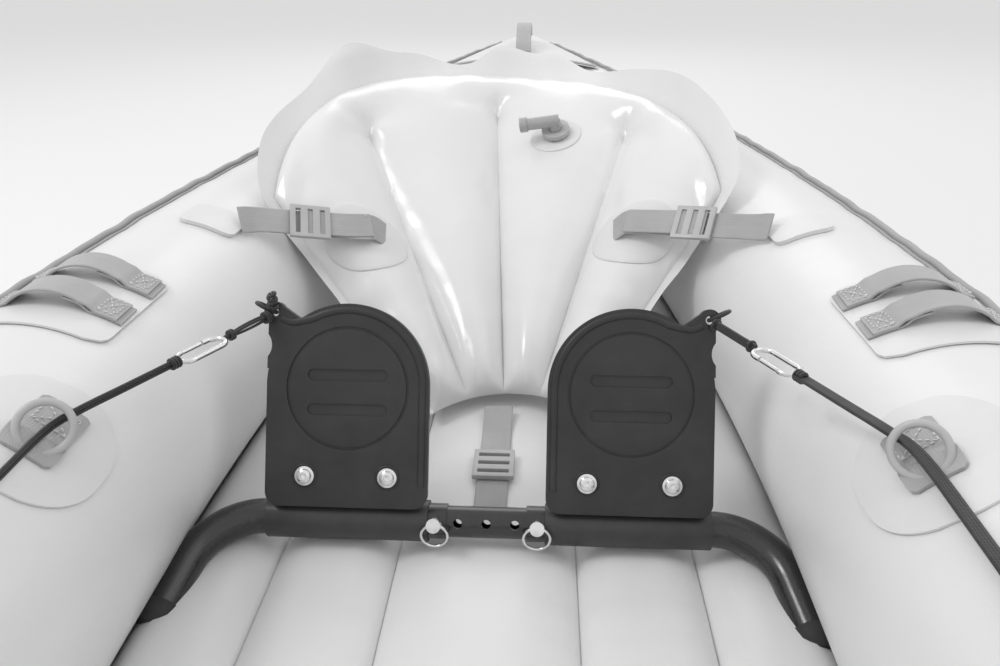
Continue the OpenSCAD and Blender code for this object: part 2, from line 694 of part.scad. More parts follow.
// ---- rudder on the stern ----
post_h = 70;
tongue_z = 288;
module rudder_bracket() {
    color("silver") {
        for (z = [-post_h / 2, post_h / 2 - 8]) translate([0, post_y, post_z + z]) difference() {
            union() {
                cylinder(d = 18, h = 8, $fn = fine);
                translate([-9, 0, 0]) cube([18, bracket_reach, 8]);
            }
            translate([0, 0, -1]) cylinder(d = 8.12, h = 10, $fn = fine);
        }
        translate([-15, post_y + bracket_reach, post_z - post_h / 2])
            cube([30, 4, tongue_z + 3 - post_z + post_h / 2]);
        translate([-15, post_y + bracket_reach + 1, tongue_z]) cube([30, 108, 3]);
    }
}
module rudder_pintle() {
    color("silver") translate([0, post_y, post_z - post_h / 2 - 4]) {
        cylinder(d = 8, h = post_h + 12, $fn = fine);
        translate([0, 0, -3]) cylinder(d = 14, h = 3, $fn = fine);
        translate([0, 0, post_h + 8.2]) cylinder(d = 14, h = 3, $fn = fine);
    }
}
head_h = post_h - 17;
module rudder_head() {
    color("#1e1e20") difference() {
        union() {
            translate([0, post_y, post_z - head_h / 2]) cylinder(d = 22, h = head_h, $fn = fine);
            for (s = [-1, 1]) translate([s > 0 ? 5.2 : -8.2, blade_y - 17, blade_z - 17]) cube([3,
                post_y - blade_y + 14, 34]);
            translate([-8.2, post_y - 16, post_z - head_h / 2]) cube([16.4, 8, head_h]);
        }
        translate([0, post_y, post_z - head_h]) cylinder(d = 8.12, h = 2 * head_h, $fn = fine);
        translate([0, blade_y, blade_z]) rotate([0, 90, 0]) cylinder(d = 8.12, h = 40, center = true,
            $fn = fine);
    }
    color("#1e1e20") for (s = [-1, 1]) translate([s > 0 ? 10.4 : -arm_x - 8, post_y - 6, arm_z - 2.5])
        cube([arm_x - 2.4, 12, 5]);
}
module blade_bolt() {
    color("silver") translate([0, blade_y, blade_z]) rotate([0, 90, 0]) {
        translate([0, 0, -12]) cylinder(d = 8, h = 24, $fn = fine);
        translate([0, 0, -13.4]) cylinder(d = 14, h = 5, $fn = 6);
        translate([0, 0, 8.4]) cylinder(d = 14, h = 5, $fn = fine);
    }
}
module rudder_blade() {
    color("#28282a") translate([0, blade_y, blade_z]) rotate([-stow_angle, 0, 0]) rotate([0, 90, 0])
        difference() {
        translate([0, 0, -4.6]) linear_extrude(9.2) polygon(concat([for (a = [0:10:180]) 18 * [cos(a),
            sin(a)]],
            [[-blade_w * 0.38, -110], [-blade_w * 0.36, -blade_len + 50], [-blade_w * 0.1, -blade_len],
                [blade_w * 0.5, -blade_len], [blade_w * 0.62, -blade_len + 40], [blade_w * 0.6, -110]]));
        cylinder(d = 8.12, h = 40, center = true, $fn = fine);
    }
}

side_tube(left);  // left_side_tube
side_tube(right);  // right_side_tube
floor_chamber();
floor_joint_strips();
edge_tapes();
bow_deck();
stern_deck();
bow_handle();
stern_handle();
gear_loop_patches();
gear_loops();
line_ring_patches();
left_line_ring();
right_line_ring();
stern_line_guides();
tube_valves();
floor_valve();
bow_cushion();
cushion_patches();
cushion_valve_base();
cushion_valve_elbow();
cushion_side_straps();
cushion_side_buckles();
cushion_floor_strap();
floor_strap_buckle();
center_tube();
left_leg_tube();
right_leg_tube();
leg_tube_feet();
left_pedal_sleeve();
right_pedal_sleeve();
left_pedal_pad();
right_pedal_pad();
left_pedal_screws();
right_pedal_screws();
left_lock_pin();
right_lock_pin();
left_pin_ring();
right_pin_ring();
left_ear_loop();
right_ear_loop();
left_ear_cord();
right_ear_strap();
left_carabiner();
right_carabiner();
left_carabiner_gate();
right_carabiner_gate();
left_steering_line();
right_steering_line();
seat_cushion();
seat_back();
seat_back_straps();
seat_strap_buckles();
seat_strap_patches();
rudder_bracket();
rudder_pintle();
rudder_head();
blade_bolt();
rudder_blade();
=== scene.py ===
"""Looks of the inflatable kayak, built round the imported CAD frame. Lengths in the functions are in millimetres."""
import json
import math

import bmesh
import bpy
import numpy as np
from mathutils import Matrix, Vector

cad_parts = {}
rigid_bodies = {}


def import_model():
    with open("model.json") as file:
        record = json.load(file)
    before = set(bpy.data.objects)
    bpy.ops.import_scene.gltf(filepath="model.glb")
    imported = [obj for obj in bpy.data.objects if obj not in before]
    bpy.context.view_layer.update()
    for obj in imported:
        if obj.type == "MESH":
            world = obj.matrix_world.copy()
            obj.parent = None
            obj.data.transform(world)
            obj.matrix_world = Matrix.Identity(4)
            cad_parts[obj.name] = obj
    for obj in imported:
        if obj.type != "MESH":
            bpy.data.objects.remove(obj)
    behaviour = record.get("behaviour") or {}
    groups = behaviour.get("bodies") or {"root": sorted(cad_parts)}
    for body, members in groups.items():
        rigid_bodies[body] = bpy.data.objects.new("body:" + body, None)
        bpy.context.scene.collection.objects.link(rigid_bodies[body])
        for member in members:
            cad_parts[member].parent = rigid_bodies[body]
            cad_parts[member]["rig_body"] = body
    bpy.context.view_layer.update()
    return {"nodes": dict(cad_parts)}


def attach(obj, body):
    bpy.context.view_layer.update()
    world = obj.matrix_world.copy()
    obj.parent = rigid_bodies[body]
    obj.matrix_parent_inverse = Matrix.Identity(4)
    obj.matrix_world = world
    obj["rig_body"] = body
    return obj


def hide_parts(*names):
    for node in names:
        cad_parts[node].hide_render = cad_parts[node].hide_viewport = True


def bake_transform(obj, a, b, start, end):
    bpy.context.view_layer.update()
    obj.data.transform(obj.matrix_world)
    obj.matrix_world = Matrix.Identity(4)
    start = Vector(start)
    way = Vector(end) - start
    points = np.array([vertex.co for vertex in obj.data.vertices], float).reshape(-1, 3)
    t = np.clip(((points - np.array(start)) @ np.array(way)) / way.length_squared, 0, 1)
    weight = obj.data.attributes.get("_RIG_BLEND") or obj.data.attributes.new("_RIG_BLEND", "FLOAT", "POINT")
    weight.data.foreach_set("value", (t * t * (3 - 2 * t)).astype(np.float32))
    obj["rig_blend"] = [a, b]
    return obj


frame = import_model()
NODES = frame["nodes"]
MM = 0.001
LEFT, RIGHT = -1, 1
PI = math.pi

# ---------------------------------------------------------------- camera
CAM_PLACE = (0.0335, 0.350, 0.4667)
CAM_PITCH, CAM_YAW, CAM_ROLL = math.radians(26.73), math.radians(3.04), -0.004
CAM_LENS, CAM_SENSOR = 28.8, 36.0


def make_camera():
    data = bpy.data.cameras.new("camera")
    data.lens, data.sensor_width = CAM_LENS, CAM_SENSOR
    data.clip_start, data.clip_end = 0.02, 100
    cam = bpy.data.objects.new("camera", data)
    bpy.context.scene.collection.objects.link(cam)
    ahead = Vector((-math.sin(CAM_YAW) * math.cos(CAM_PITCH), math.cos(CAM_YAW) * math.cos(CAM_PITCH),
                    -math.sin(CAM_PITCH)))
    right = ahead.cross(Vector((0, 0, 1))).normalized()
    up = right.cross(ahead)
    x = right * math.cos(CAM_ROLL) + up * math.sin(CAM_ROLL)
    y = up * math.cos(CAM_ROLL) - right * math.sin(CAM_ROLL)
    cam.matrix_world = Matrix((
        (x.x, y.x, -ahead.x, CAM_PLACE[0]), (x.y, y.y, -ahead.y, CAM_PLACE[1]),
        (x.z, y.z, -ahead.z, CAM_PLACE[2]), (0, 0, 0, 1)))
    bpy.context.scene.camera = cam


make_camera()

# ---------------------------------------------------------------- hull form, the same as the CAD part's
HALF_LEN, MID_SHARE, EDGE_HALF_W = 2025.0, 0.367, 337.0
TUBE_R, TUBE_Z, TUBE_TAPER, TAPE_LEAN, END_RISE = 105.0, 140.0, 48.0, 0.34, 88.0
CROWN_T, FLOOR_DROP, FLOOR_INSET, SEAM_DEPTH = 37.5, 102.5, 0.638, 13.0
SEAMS = [-1, -0.635, -0.274, 0.274, 0.635, 1]
TAPE_ANGLE, LINE_ANGLE = 70.0, 129.0


def endness(y):
    return np.clip((np.abs(y) / HALF_LEN - MID_SHARE) / (1 - MID_SHARE), 0, 1)


def tape_x(y):
    return EDGE_HALF_W * (1 - endness(y) ** 1.85)


def full_r(y):
    return TUBE_R - TUBE_TAPER * endness(y) ** 2


def round_r(y):
    over = np.maximum(0, np.abs(y) / HALF_LEN - 0.975) / 0.025
    return full_r(y) * np.sqrt(np.maximum(0.02, 1 - over ** 2))


def axis_z(y):
    return TUBE_Z + END_RISE * endness(y) ** 2


def axis_x(y):
    return np.maximum(0.4, tape_x(y) - TAPE_LEAN * full_r(y))


def floor_z(y):
    return axis_z(y) - FLOOR_DROP * full_r(y) / TUBE_R


def smooth(t):
    t = np.clip(t, 0, 1)
    return t * t * (3 - 2 * t)


def waves(p, length, seed, count=7):
    """Smooth, repeatable unevenness about -1 to 1 over points p, with bumps about that long."""
    rng = np.random.default_rng(seed)
    out = np.zeros(p.shape[:-1])
    for _ in range(count):
        d = rng.normal(size=3)
        d *= 2 * PI / length * rng.uniform(0.6, 1.5) / np.linalg.norm(d)
        out += np.sin(p @ d + rng.uniform(0, 2 * PI))
    return out / math.sqrt(count)


def pucker(along, away, length, reach, seed):
    """Short creases that cross a weld: along and away are distances along it and from it."""
    rng = np.random.default_rng(seed)
    out = np.zeros(np.broadcast(along, away).shape)
    for k in (0.7, 1.0, 1.45):
        out += np.sin(2 * PI * along / (length * k) + rng.uniform(0, 6) + 1.7 * np.sin(along / (length * 2.3)))
    return out / 2 * np.exp(-np.abs(away) / reach)


def tube_skin(side, y, angle):
    """How far the inflated skin stands off the plain tube: creases by the tape, inside the bends and at the ends."""
    y, angle = np.broadcast_arrays(np.asarray(y, float), np.asarray(angle, float))
    wrapped = (angle + 180) % 360 - 180
    r = full_r(y)
    p = np.stack([side * r * np.cos(np.radians(wrapped)) * 2.0, y, r * np.sin(np.radians(wrapped)) * 2.0], -1)
    out = 0.35 * waves(p, 260, 11 + side)
    from_tape = np.radians(np.abs(wrapped - TAPE_ANGLE)) * r
    out += 0.55 * pucker(y, from_tape, 46, 26, 21 + side)
    inner = np.radians(np.abs(np.abs(wrapped) - 180 + 6)) * r
    bend = smooth((np.abs(y) - 800) / 700)
    out += 1.1 * bend * pucker(y, inner, 58, 55, 31 + side)
    tip = smooth((np.abs(y) - 1750) / 230)
    out += 0.8 * tip * waves(p, 70, 41 + side)
    return out


def on_tube(side, y, angle, off):
    y, angle, off = np.broadcast_arrays(np.asarray(y, float), np.asarray(angle, float), np.asarray(off, float))
    rad = round_r(y) + off + tube_skin(side, y, angle) * np.minimum(1, round_r(y) / full_r(y))
    a = np.radians(angle)
    return np.stack([side * np.maximum(0.4, axis_x(y) + rad * np.cos(a)), y, axis_z(y) + rad * np.sin(a)], -1)


# ---------------------------------------------------------------- materials
def noise_node(nt, vector, scale, detail=4.0, rough=0.55):
    n = nt.nodes.new("ShaderNodeTexNoise")
    n.inputs["Scale"].default_value = scale
    n.inputs["Detail"].default_value = detail
    n.inputs["Roughness"].default_value = rough
    nt.links.new(vector, n.inputs["Vector"])
    return n.outputs["Fac"]


def stretch_node(nt, vector, scale):
    m = nt.nodes.new("ShaderNodeMapping")
    m.inputs["Scale"].default_value = scale
    nt.links.new(vector, m.inputs["Vector"])
    return m.outputs["Vector"]


def wave_node(nt, vector, scale, direction, distortion=0.0):
    n = nt.nodes.new("ShaderNodeTexWave")
    n.bands_direction = direction
    n.inputs["Scale"].default_value = scale
    n.inputs["Distortion"].default_value = distortion
    nt.links.new(vector, n.inputs["Vector"])
    return n.outputs["Fac"]


def math_node(nt, kind, a, b):
    n = nt.nodes.new("ShaderNodeMath")
    n.operation = kind
    for socket, value in zip(n.inputs, (a, b)):
        if isinstance(value, (int, float)):
            socket.default_value = value
        else:
            nt.links.new(value, socket)
    return n.outputs[0]


def ramp_node(nt, value, low, high, start=0.3, end=0.7):
    n = nt.nodes.new("ShaderNodeMapRange")
    for name, v in (("From Min", start), ("From Max", end), ("To Min", low), ("To Max", high)):
        n.inputs[name].default_value = v
    nt.links.new(value, n.inputs["Value"])
    return n.outputs["Result"]


def color_node(nt, value, low, high, start=0.3, end=0.7):
    n = nt.nodes.new("ShaderNodeValToRGB")
    n.color_ramp.elements[0].position, n.color_ramp.elements[1].position = start, end
    n.color_ramp.elements[0].color = (*low, 1)
    n.color_ramp.elements[1].color = (*high, 1)
    nt.links.new(value, n.inputs["Fac"])
    return n.outputs["Color"]


def weave_height(nt, kind, obj_vec, uv_vec):
    """Height field of a surface's fine structure."""
    if kind == "fabric":          # coated cloth: a faint grid pressed through the coating
        rows = [wave_node(nt, obj_vec, 420, d, 0.3) for d in ("X", "Y", "Z")]
        return math_node(nt, "ADD", math_node(nt, "ADD", rows[0], rows[1]), rows[2])
    if kind == "webbing":         # ribs along the strap crossed by picks, in the strap's own metres
        ribs = wave_node(nt, uv_vec, 190, "Y", 0.2)
        picks = wave_node(nt, uv_vec, 330, "X", 0.6)
        return math_node(nt, "ADD", ribs, math_node(nt, "MULTIPLY", picks, 0.7))
    if kind == "braid":           # two sets of slanted strands
        one = wave_node(nt, stretch_node(nt, uv_vec, (1, 1.3, 1)), 260, "DIAGONAL", 0.2)
        two = wave_node(nt, stretch_node(nt, uv_vec, (-1, 1.3, 1)), 260, "DIAGONAL", 0.2)
        return math_node(nt, "MAXIMUM", one, two)
    if kind == "grain":           # moulded plastic
        return noise_node(nt, obj_vec, 1500, 3)
    if kind == "brushed":
        return noise_node(nt, stretch_node(nt, obj_vec, (1, 14, 14)), 260, 5)
    if kind == "orange":          # sprayed or powder coating
        return noise_node(nt, obj_vec, 620, 2)
    return noise_node(nt, obj_vec, 300, 6)


def material(name, low, high, rough, rough_span, kind, fine, soft, blotch=9, metallic=0.0, coat=0.0, sheen=0.0):
    """low and high are the colours the surface varies between; fine and soft are bump depths in millimetres."""
    m = bpy.data.materials.new(name)
    m.use_nodes = True
    nt = m.node_tree
    bsdf = nt.nodes["Principled BSDF"]
    coord = nt.nodes.new("ShaderNodeTexCoord")
    obj_vec, uv_vec = coord.outputs["Object"], coord.outputs["UV"]
    patches = noise_node(nt, obj_vec, blotch, 6, 0.6)
    nt.links.new(color_node(nt, patches, low, high), bsdf.inputs["Base Color"])
    wear = noise_node(nt, obj_vec, blotch * 4.3, 5, 0.65)
    nt.links.new(ramp_node(nt, wear, rough - rough_span, rough + rough_span), bsdf.inputs["Roughness"])
    bsdf.inputs["Metallic"].default_value = metallic
    bsdf.inputs["Coat Weight"].default_value = coat
    bsdf.inputs["Coat Roughness"].default_value = 0.18
    bsdf.inputs["Sheen Weight"].default_value = sheen
    normal = None
    for height, depth in ((noise_node(nt, obj_vec, 38, 3), soft), (weave_height(nt, kind, obj_vec, uv_vec), fine)):
        b = nt.nodes.new("ShaderNodeBump")
        b.inputs["Strength"].default_value = 1.0
        b.inputs["Distance"].default_value = depth * MM
        nt.links.new(height, b.inputs["Height"])
        if normal is not None:
            nt.links.new(normal, b.inputs["Normal"])
        normal = b.outputs["Normal"]
    nt.links.new(normal, bsdf.inputs["Normal"])
    return m


def grey(v):
    return (v, v, v)


MATS = {
    "hull_fabric": material("hull_fabric", grey(0.73), grey(0.775), 0.34, 0.06, "fabric", 0.012,
        0.5, 5, coat=0.12),
    "floor_fabric": material("floor_fabric", grey(0.72), grey(0.765), 0.38, 0.06, "fabric", 0.012,
        0.5, 6, coat=0.08),
    "cushion_fabric": material("cushion_fabric", grey(0.745), grey(0.79), 0.20, 0.05, "fabric",
        0.006, 0.5, 7, coat=0.35),
    "patch_fabric": material("patch_fabric", grey(0.69), grey(0.73), 0.40, 0.06, "fabric", 0.014,
        0.3, 11, coat=0.05),
    "edge_tape": material("edge_tape", grey(0.33), grey(0.40), 0.55, 0.07, "webbing", 0.05, 0.2, 14, sheen=0.2),
    "grey_webbing": material("grey_webbing", grey(0.36), grey(0.43), 0.62, 0.06, "webbing", 0.10,
        0.2, 22, sheen=0.3),
    "grey_plastic": material("grey_plastic", grey(0.42), grey(0.48), 0.34, 0.05, "grain", 0.02, 0.1, 30),
    "valve_plastic": material("valve_plastic", grey(0.36), grey(0.42), 0.3, 0.05, "grain", 0.02,
        0.1, 30, coat=0.2),
    "black_tube": material("black_tube", grey(0.010), grey(0.018), 0.24, 0.07, "orange", 0.02,
        0.05, 40, coat=0.5),
    "black_sleeve": material("black_sleeve", grey(0.028), grey(0.042), 0.42, 0.06, "orange", 0.07,
        0.08, 50, coat=0.1),
    "black_rubber": material("black_rubber", grey(0.02), grey(0.035), 0.7, 0.06, "grain", 0.05, 0.1, 40),
    "black_pad": material("black_pad", grey(0.018), grey(0.032), 0.42, 0.07, "grain", 0.05, 0.12, 26),
    "bright_metal": material("bright_metal", grey(0.72), grey(0.84), 0.22, 0.07, "brushed", 0.01,
        0.02, 60, metallic=1.0),
    "black_cord": material("black_cord", grey(0.012), grey(0.03), 0.68, 0.08, "braid", 0.22, 0.1, 60, sheen=0.25),
    "black_webbing": material("black_webbing", grey(0.012), grey(0.028), 0.6, 0.07, "webbing",
        0.14, 0.1, 60, sheen=0.25),
    "rudder_plastic": material("rudder_plastic", grey(0.03), grey(0.05), 0.46, 0.07, "grain", 0.06, 0.1, 22),
    "thread": material("thread", grey(0.62), grey(0.72), 0.6, 0.05, "braid", 0.05, 0.05, 60, sheen=0.2),
}


# ---------------------------------------------------------------- mesh tools
def place(obj, mat, body, nodes):
    obj.data.materials.clear()
    obj.data.materials.append(MATS[mat])
    if obj.name not in bpy.context.scene.collection.objects:
        bpy.context.scene.collection.objects.link(obj)
    if nodes:
        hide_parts(*nodes)
    if body:
        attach(obj, body)
    return obj


def faced_outward(me):
    bm = bmesh.new()
    bm.from_mesh(me)
    bmesh.ops.recalc_face_normals(bm, faces=bm.faces)
    bm.to_mesh(me)
    bm.free()


def loft(name, ring_sets, mat, body="root", nodes=(), sharp=None):
    """One object of closed solids, each from rings of points (rings, points a ring, 3); UVs are in metres."""
    verts, faces, uvs = [], [], []
    for rings in ring_sets:
        n, m = rings.shape[:2]
        base = len(verts)
        verts.extend((rings.reshape(-1, 3) * MM).tolist())
        mid = rings[n // 2]
        around = np.concatenate([[0], np.cumsum(np.linalg.norm(np.roll(mid, -1, 0) - mid, axis=1))]) * MM
        centre = rings.mean(1)
        along = np.concatenate([[0], np.cumsum(np.linalg.norm(np.diff(centre, axis=0), axis=1))]) * MM
        for i in range(n - 1):
            for j in range(m):
                k = (j + 1) % m
                faces.append((base + i * m + j, base + i * m + k, base + (i + 1) * m + k, base + (i + 1) * m + j))
                uvs.extend([(along[i], around[j]), (along[i], around[j + 1]), (along[i + 1], around[j + 1]),
                            (along[i + 1], around[j])])
        for i, order in ((0, range(m - 1, -1, -1)), (n - 1, range(m))):
            faces.append(tuple(base + i * m + j for j in order))
            uvs.extend([(along[i], around[j]) for j in order])
    me = bpy.data.meshes.new(name)
    me.from_pydata(verts, [], faces)
    layer = me.uv_layers.new(name="UVMap")
    layer.data.foreach_set("uv", np.array(uvs, np.float32).ravel())
    faced_outward(me)
    me.polygons.foreach_set("use_smooth", [True] * len(me.polygons))
    me.set_sharp_from_angle(angle=math.radians(sharp or 50))
    return place(bpy.data.objects.new(name, me), mat, body, nodes)


def even(points, step):
    """A smooth curve through the points, cut into even steps."""
    pts = np.asarray(points, float)
    ext = np.vstack([2 * pts[0] - pts[1], pts, 2 * pts[-1] - pts[-2]])
    out = []
    for i in range(1, len(ext) - 2):
        p0, p1, p2, p3 = ext[i - 1:i + 3]
        span = max(2, int(np.linalg.norm(p2 - p1) / step * 2))
        t = np.linspace(0, 1, span, endpoint=False)[:, None]
        out.append(0.5 * (2 * p1 + (p2 - p0) * t + (2 * p0 - 5 * p1 + 4 * p2 - p3) * t ** 2
                          + (3 * p1 - p0 - 3 * p2 + p3) * t ** 3))
    line = np.vstack(out + [pts[-1:]])
    run = np.concatenate([[0], np.cumsum(np.linalg.norm(np.diff(line, axis=0), axis=1))])
    count = max(3, int(run[-1] / step) + 1)
    at = np.linspace(0, run[-1], count)
    return np.stack([np.interp(at, run, line[:, k]) for k in range(3)], 1)


def frames(pts, across):
    """Unit directions across and out of a path whose width lies along `across`."""
    d = np.gradient(pts, axis=0)
    d /= np.linalg.norm(d, axis=1)[:, None]
    across = np.broadcast_to(np.asarray(across, float), pts.shape)
    out = np.cross(d, across)
    out /= np.linalg.norm(out, axis=1)[:, None]
    side = np.cross(out, d)
    return side, out


def sweep(pts, across, profile):
    """Rings of a profile (points of [across, out]) swept along a path."""
    side, out = frames(pts, across)
    prof = np.asarray(profile, float)
    return pts[:, None] + side[:, None] * prof[None, :, :1] + out[:, None] * prof[None, :, 1:]


def strap_profile(w, t, ribs=12):
    """Webbing seen end on: flat faces and rounded, slightly thicker selvedges."""
    edge = [(w / 2 - t / 2 + t / 2 * math.cos(a), t / 2 * math.sin(a) * 1.06) for a in np.radians([90, 50, 0, -50, -90])]
    top = [(x, t / 2 + 0.05 * math.cos(x * 4)) for x in np.linspace(-w / 2 + t, w / 2 - t, ribs)]
    return top + edge + [(-x, -y) for x, y in top] + [(-x, -y) for x, y in edge]


def round_profile(w, h, sides=12):
    return [(w / 2 * math.cos(a), h / 2 * math.sin(a)) for a in np.linspace(2 * PI, 0, sides, endpoint=False)]


def webbing(name, paths, across, w, t, mat="grey_webbing", body="root", nodes=(), step=4):
    return loft(name, [sweep(even(p, step), a, strap_profile(w, t)) for p, a in zip(paths, across)], mat, body, nodes)


def tube_patch(side, y0, y1, a0, a1, off, t, lift=None, ny=24, na=24, corner=8.0):
    """A patch wrapped on a side tube, with rounded corners; lift(u, v) raises it."""
    u, v = np.meshgrid(np.linspace(-1, 1, ny), np.linspace(-1, 1, na), indexing="ij")
    y, a = (y0 + y1) / 2 + (y1 - y0) / 2 * u, (a0 + a1) / 2 + (a1 - a0) / 2 * v
    if corner:
        half = abs(y1 - y0) / 2
        cut = corner / half
        over = np.maximum(0, (np.abs(u) - (1 - cut)) / cut)
        a = (a0 + a1) / 2 + (a - (a0 + a1) / 2) * (1 - (1 - np.sqrt(np.maximum(0, 1 - over ** 2)))
                                                   * corner / (math.radians(a1 - a0) / 2 * TUBE_R))
    raise_by = 0 if lift is None else lift(u, v)
    top = on_tube(side, y, a, off + t + raise_by)
    low = on_tube(side, y, a, off + raise_by)
    return np.concatenate([top, low[:, ::-1]], 1)


def stitch_run(points, normal, length=2.6, space=1.3, r=0.38):
    """Small raised stitches along a line, as separate closed beads."""
    pts = even(points, 1.0)
    run = np.concatenate([[0], np.cumsum(np.linalg.norm(np.diff(pts, axis=0), axis=1))])
    out = []
    at = space / 2
    while at + length < run[-1]:
        ends = [np.array([np.interp(s, run, pts[:, k]) for k in range(3)]) for s in (at, at + length)]
        d = ends[1] - ends[0]
        n = np.asarray(normal, float) if not callable(normal) else normal((ends[0] + ends[1]) / 2)
        n = n / np.linalg.norm(n)
        side = np.cross(d / np.linalg.norm(d), n)
        rings = []
        for t, s in ((0.0, 0.35), (0.15, 0.9), (0.5, 1.15), (0.85, 0.9), (1.0, 0.35)):
            c = ends[0] + d * t + n * r * (0.1 + 0.5 * math.sin(PI * t))
            rings.append([c + side * r * s * math.cos(g) + n * r * s * math.sin(g)
                          for g in np.linspace(0, 2 * PI, 6, endpoint=False)])
        out.append(np.array(rings))
        at += length + space
    return out


def refined(node, bevel=0.5, segments=2, mat=None, sharp=38):
    """The CAD node's own shape with welded points, merged flat faces and softened edges."""
    src = NODES[node]
    me = src.data.copy()
    me.name = node + "_fine"
    bm = bmesh.new()
    bm.from_mesh(me)
    bmesh.ops.remove_doubles(bm, verts=bm.verts, dist=2e-6)
    bmesh.ops.dissolve_limit(bm, angle_limit=math.radians(1.2), verts=bm.verts, edges=bm.edges)
    if bevel:
        edges = [e for e in bm.edges if len(e.link_faces) == 2 and e.calc_face_angle(0) > math.radians(32)]
        bmesh.ops.bevel(bm, geom=edges, offset=bevel * MM, segments=segments, profile=0.6, affect="EDGES",
                        clamp_overlap=True)
    bmesh.ops.triangulate(bm, faces=[f for f in bm.faces if len(f.verts) > 4])
    bm.to_mesh(me)
    bm.free()
    for a in [a.name for a in me.attributes if a.name == "custom_normal"]:
        me.attributes.remove(me.attributes[a])
    me.polygons.foreach_set("use_smooth", [True] * len(me.polygons))
    me.set_sharp_from_angle(angle=math.radians(sharp))
    obj = bpy.data.objects.new(node + "_fine", me)
    return place(obj, mat, src["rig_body"], [node])


# ---------------------------------------------------------------- hull
def side_tube(side, node):
    rows, cols = 430, 84
    u = np.linspace(-1, 1, rows)
    y = HALF_LEN * u * (3 - u * u) / 2
    angle = side * np.arange(cols) * 360.0 / cols
    rings = on_tube(side, y[:, None], angle[None, :], 0.0)
    loft(node + "_skin", [rings], "hull_fabric", nodes=[node], sharp=70)


def lobe(v):
    """1 at a chamber's crown, 0 on its welded seams."""
    out = np.zeros_like(v)
    for a, b in zip(SEAMS[:-1], SEAMS[1:]):
        c, h = (a + b) / 2, (b - a) / 2
        inside = (v >= a) & (v <= b)
        out = np.where(inside, np.sqrt(np.maximum(0, 1 - ((v - c) / h) ** 2)), out)
    return np.minimum(1, 1.08 * out)


FLOOR_REACH, FLOOR_THIN = 1795.0, 1560.0


def floor_half(v, y):
    rim = np.abs(v) > (SEAMS[4] + SEAMS[5]) / 2
    thin = 1 - 0.6 * np.clip((np.abs(y) - FLOOR_THIN) / (1800 - FLOOR_THIN), 0, 1) ** 2
    ends = np.sqrt(np.clip((FLOOR_REACH + 8 - np.abs(y)) / 60, 0.02, 1))
    half = np.where(rim, CROWN_T * np.maximum(0.24, lobe(v)), CROWN_T - SEAM_DEPTH * (1 - lobe(v)))
    return full_r(y) / TUBE_R * half * thin * ends


def floor_creases(v, y, hw):
    out = 0.3 * waves(np.stack([v * hw, y, 0 * y], -1), 210, 51)
    for k, s in enumerate(SEAMS[1:-1]):
        away = np.abs(v - s) * hw
        weld = smooth(away / 5)
        out += 0.75 * weld * pucker(y + 13 * k, away, 34, 24, 61 + k)
    return out


def floor_chambers():
    rows = 420
    y = np.linspace(-FLOOR_REACH, FLOOR_REACH, rows)[:, None]
    fine = []
    for a, b in zip(SEAMS[:-1], SEAMS[1:]):
        fine.extend((a + b) / 2 - (b - a) / 2 * np.cos(np.linspace(0, PI, 17)[:-1]))
    v = np.array(fine + [1.0])[None, :]
    hw = axis_x(y) - FLOOR_INSET * full_r(y)
    vv, yy = np.broadcast_arrays(v, y)
    half = floor_half(vv, yy)
    top = np.stack([hw * vv, yy, floor_z(yy) + half + floor_creases(vv, yy, hw)], -1)
    low = np.stack([hw * vv, yy, floor_z(yy) - half], -1)
    loft("floor_chamber_skin", [np.concatenate([top, low[:, ::-1]], 1)], "floor_fabric", nodes=["floor_chamber"],
         sharp=75)
    strips = []
    ys = np.linspace(-1650, 1650, 200)
    for side in (LEFT, RIGHT):
        x0, x1 = axis_x(ys) - 0.628 * full_r(ys), axis_x(ys) - 0.34 * full_r(ys)
        path = np.stack([side * (x0 + x1) / 2, ys, floor_z(ys) + 0.8 * waves(np.stack([x0, ys, x0], -1), 120, 71)], 1)
        flat = sweep(path, (1, 0, 0.02), strap_profile(1.0, 1.9, 8))
        flat[:, :, 0] = path[:, None, 0] + (flat[:, :, 0] - path[:, None, 0]) * (x1 - x0)[:, None]
        strips.append(flat)
    loft("floor_joint_strip_skins", strips, "floor_fabric", nodes=["floor_joint_strips"])


def edge_tapes():
    """Piping on the tape line, with a flat flange of the same tape welded to the skin on both sides."""
    sets = []
    ys = np.linspace(-1930, 1930, 520)
    for side in (LEFT, RIGHT):
        bead = on_tube(side, ys, TAPE_ANGLE, 3.3)
        up = on_tube(side, ys, TAPE_ANGLE, 4.3) - bead
        d = np.gradient(bead, axis=0)
        across = np.cross(up, d)
        sets.append(sweep(bead, across, round_profile(6.0, 5.6, 12)))
        for inner, outer in ((1.6, 7.5), (-1.6, -7.5)):
            turn = np.degrees(1 / full_r(ys))
            a = TAPE_ANGLE + np.linspace(inner, outer, 4)[None, :] * turn[:, None]
            top = on_tube(side, ys[:, None], a, 1.3)
            low = on_tube(side, ys[:, None], a, 0.25)
            sets.append(np.concatenate([top, low[:, ::-1]], 1))
    loft("edge_piping", sets, "edge_tape", nodes=["edge_tapes"])


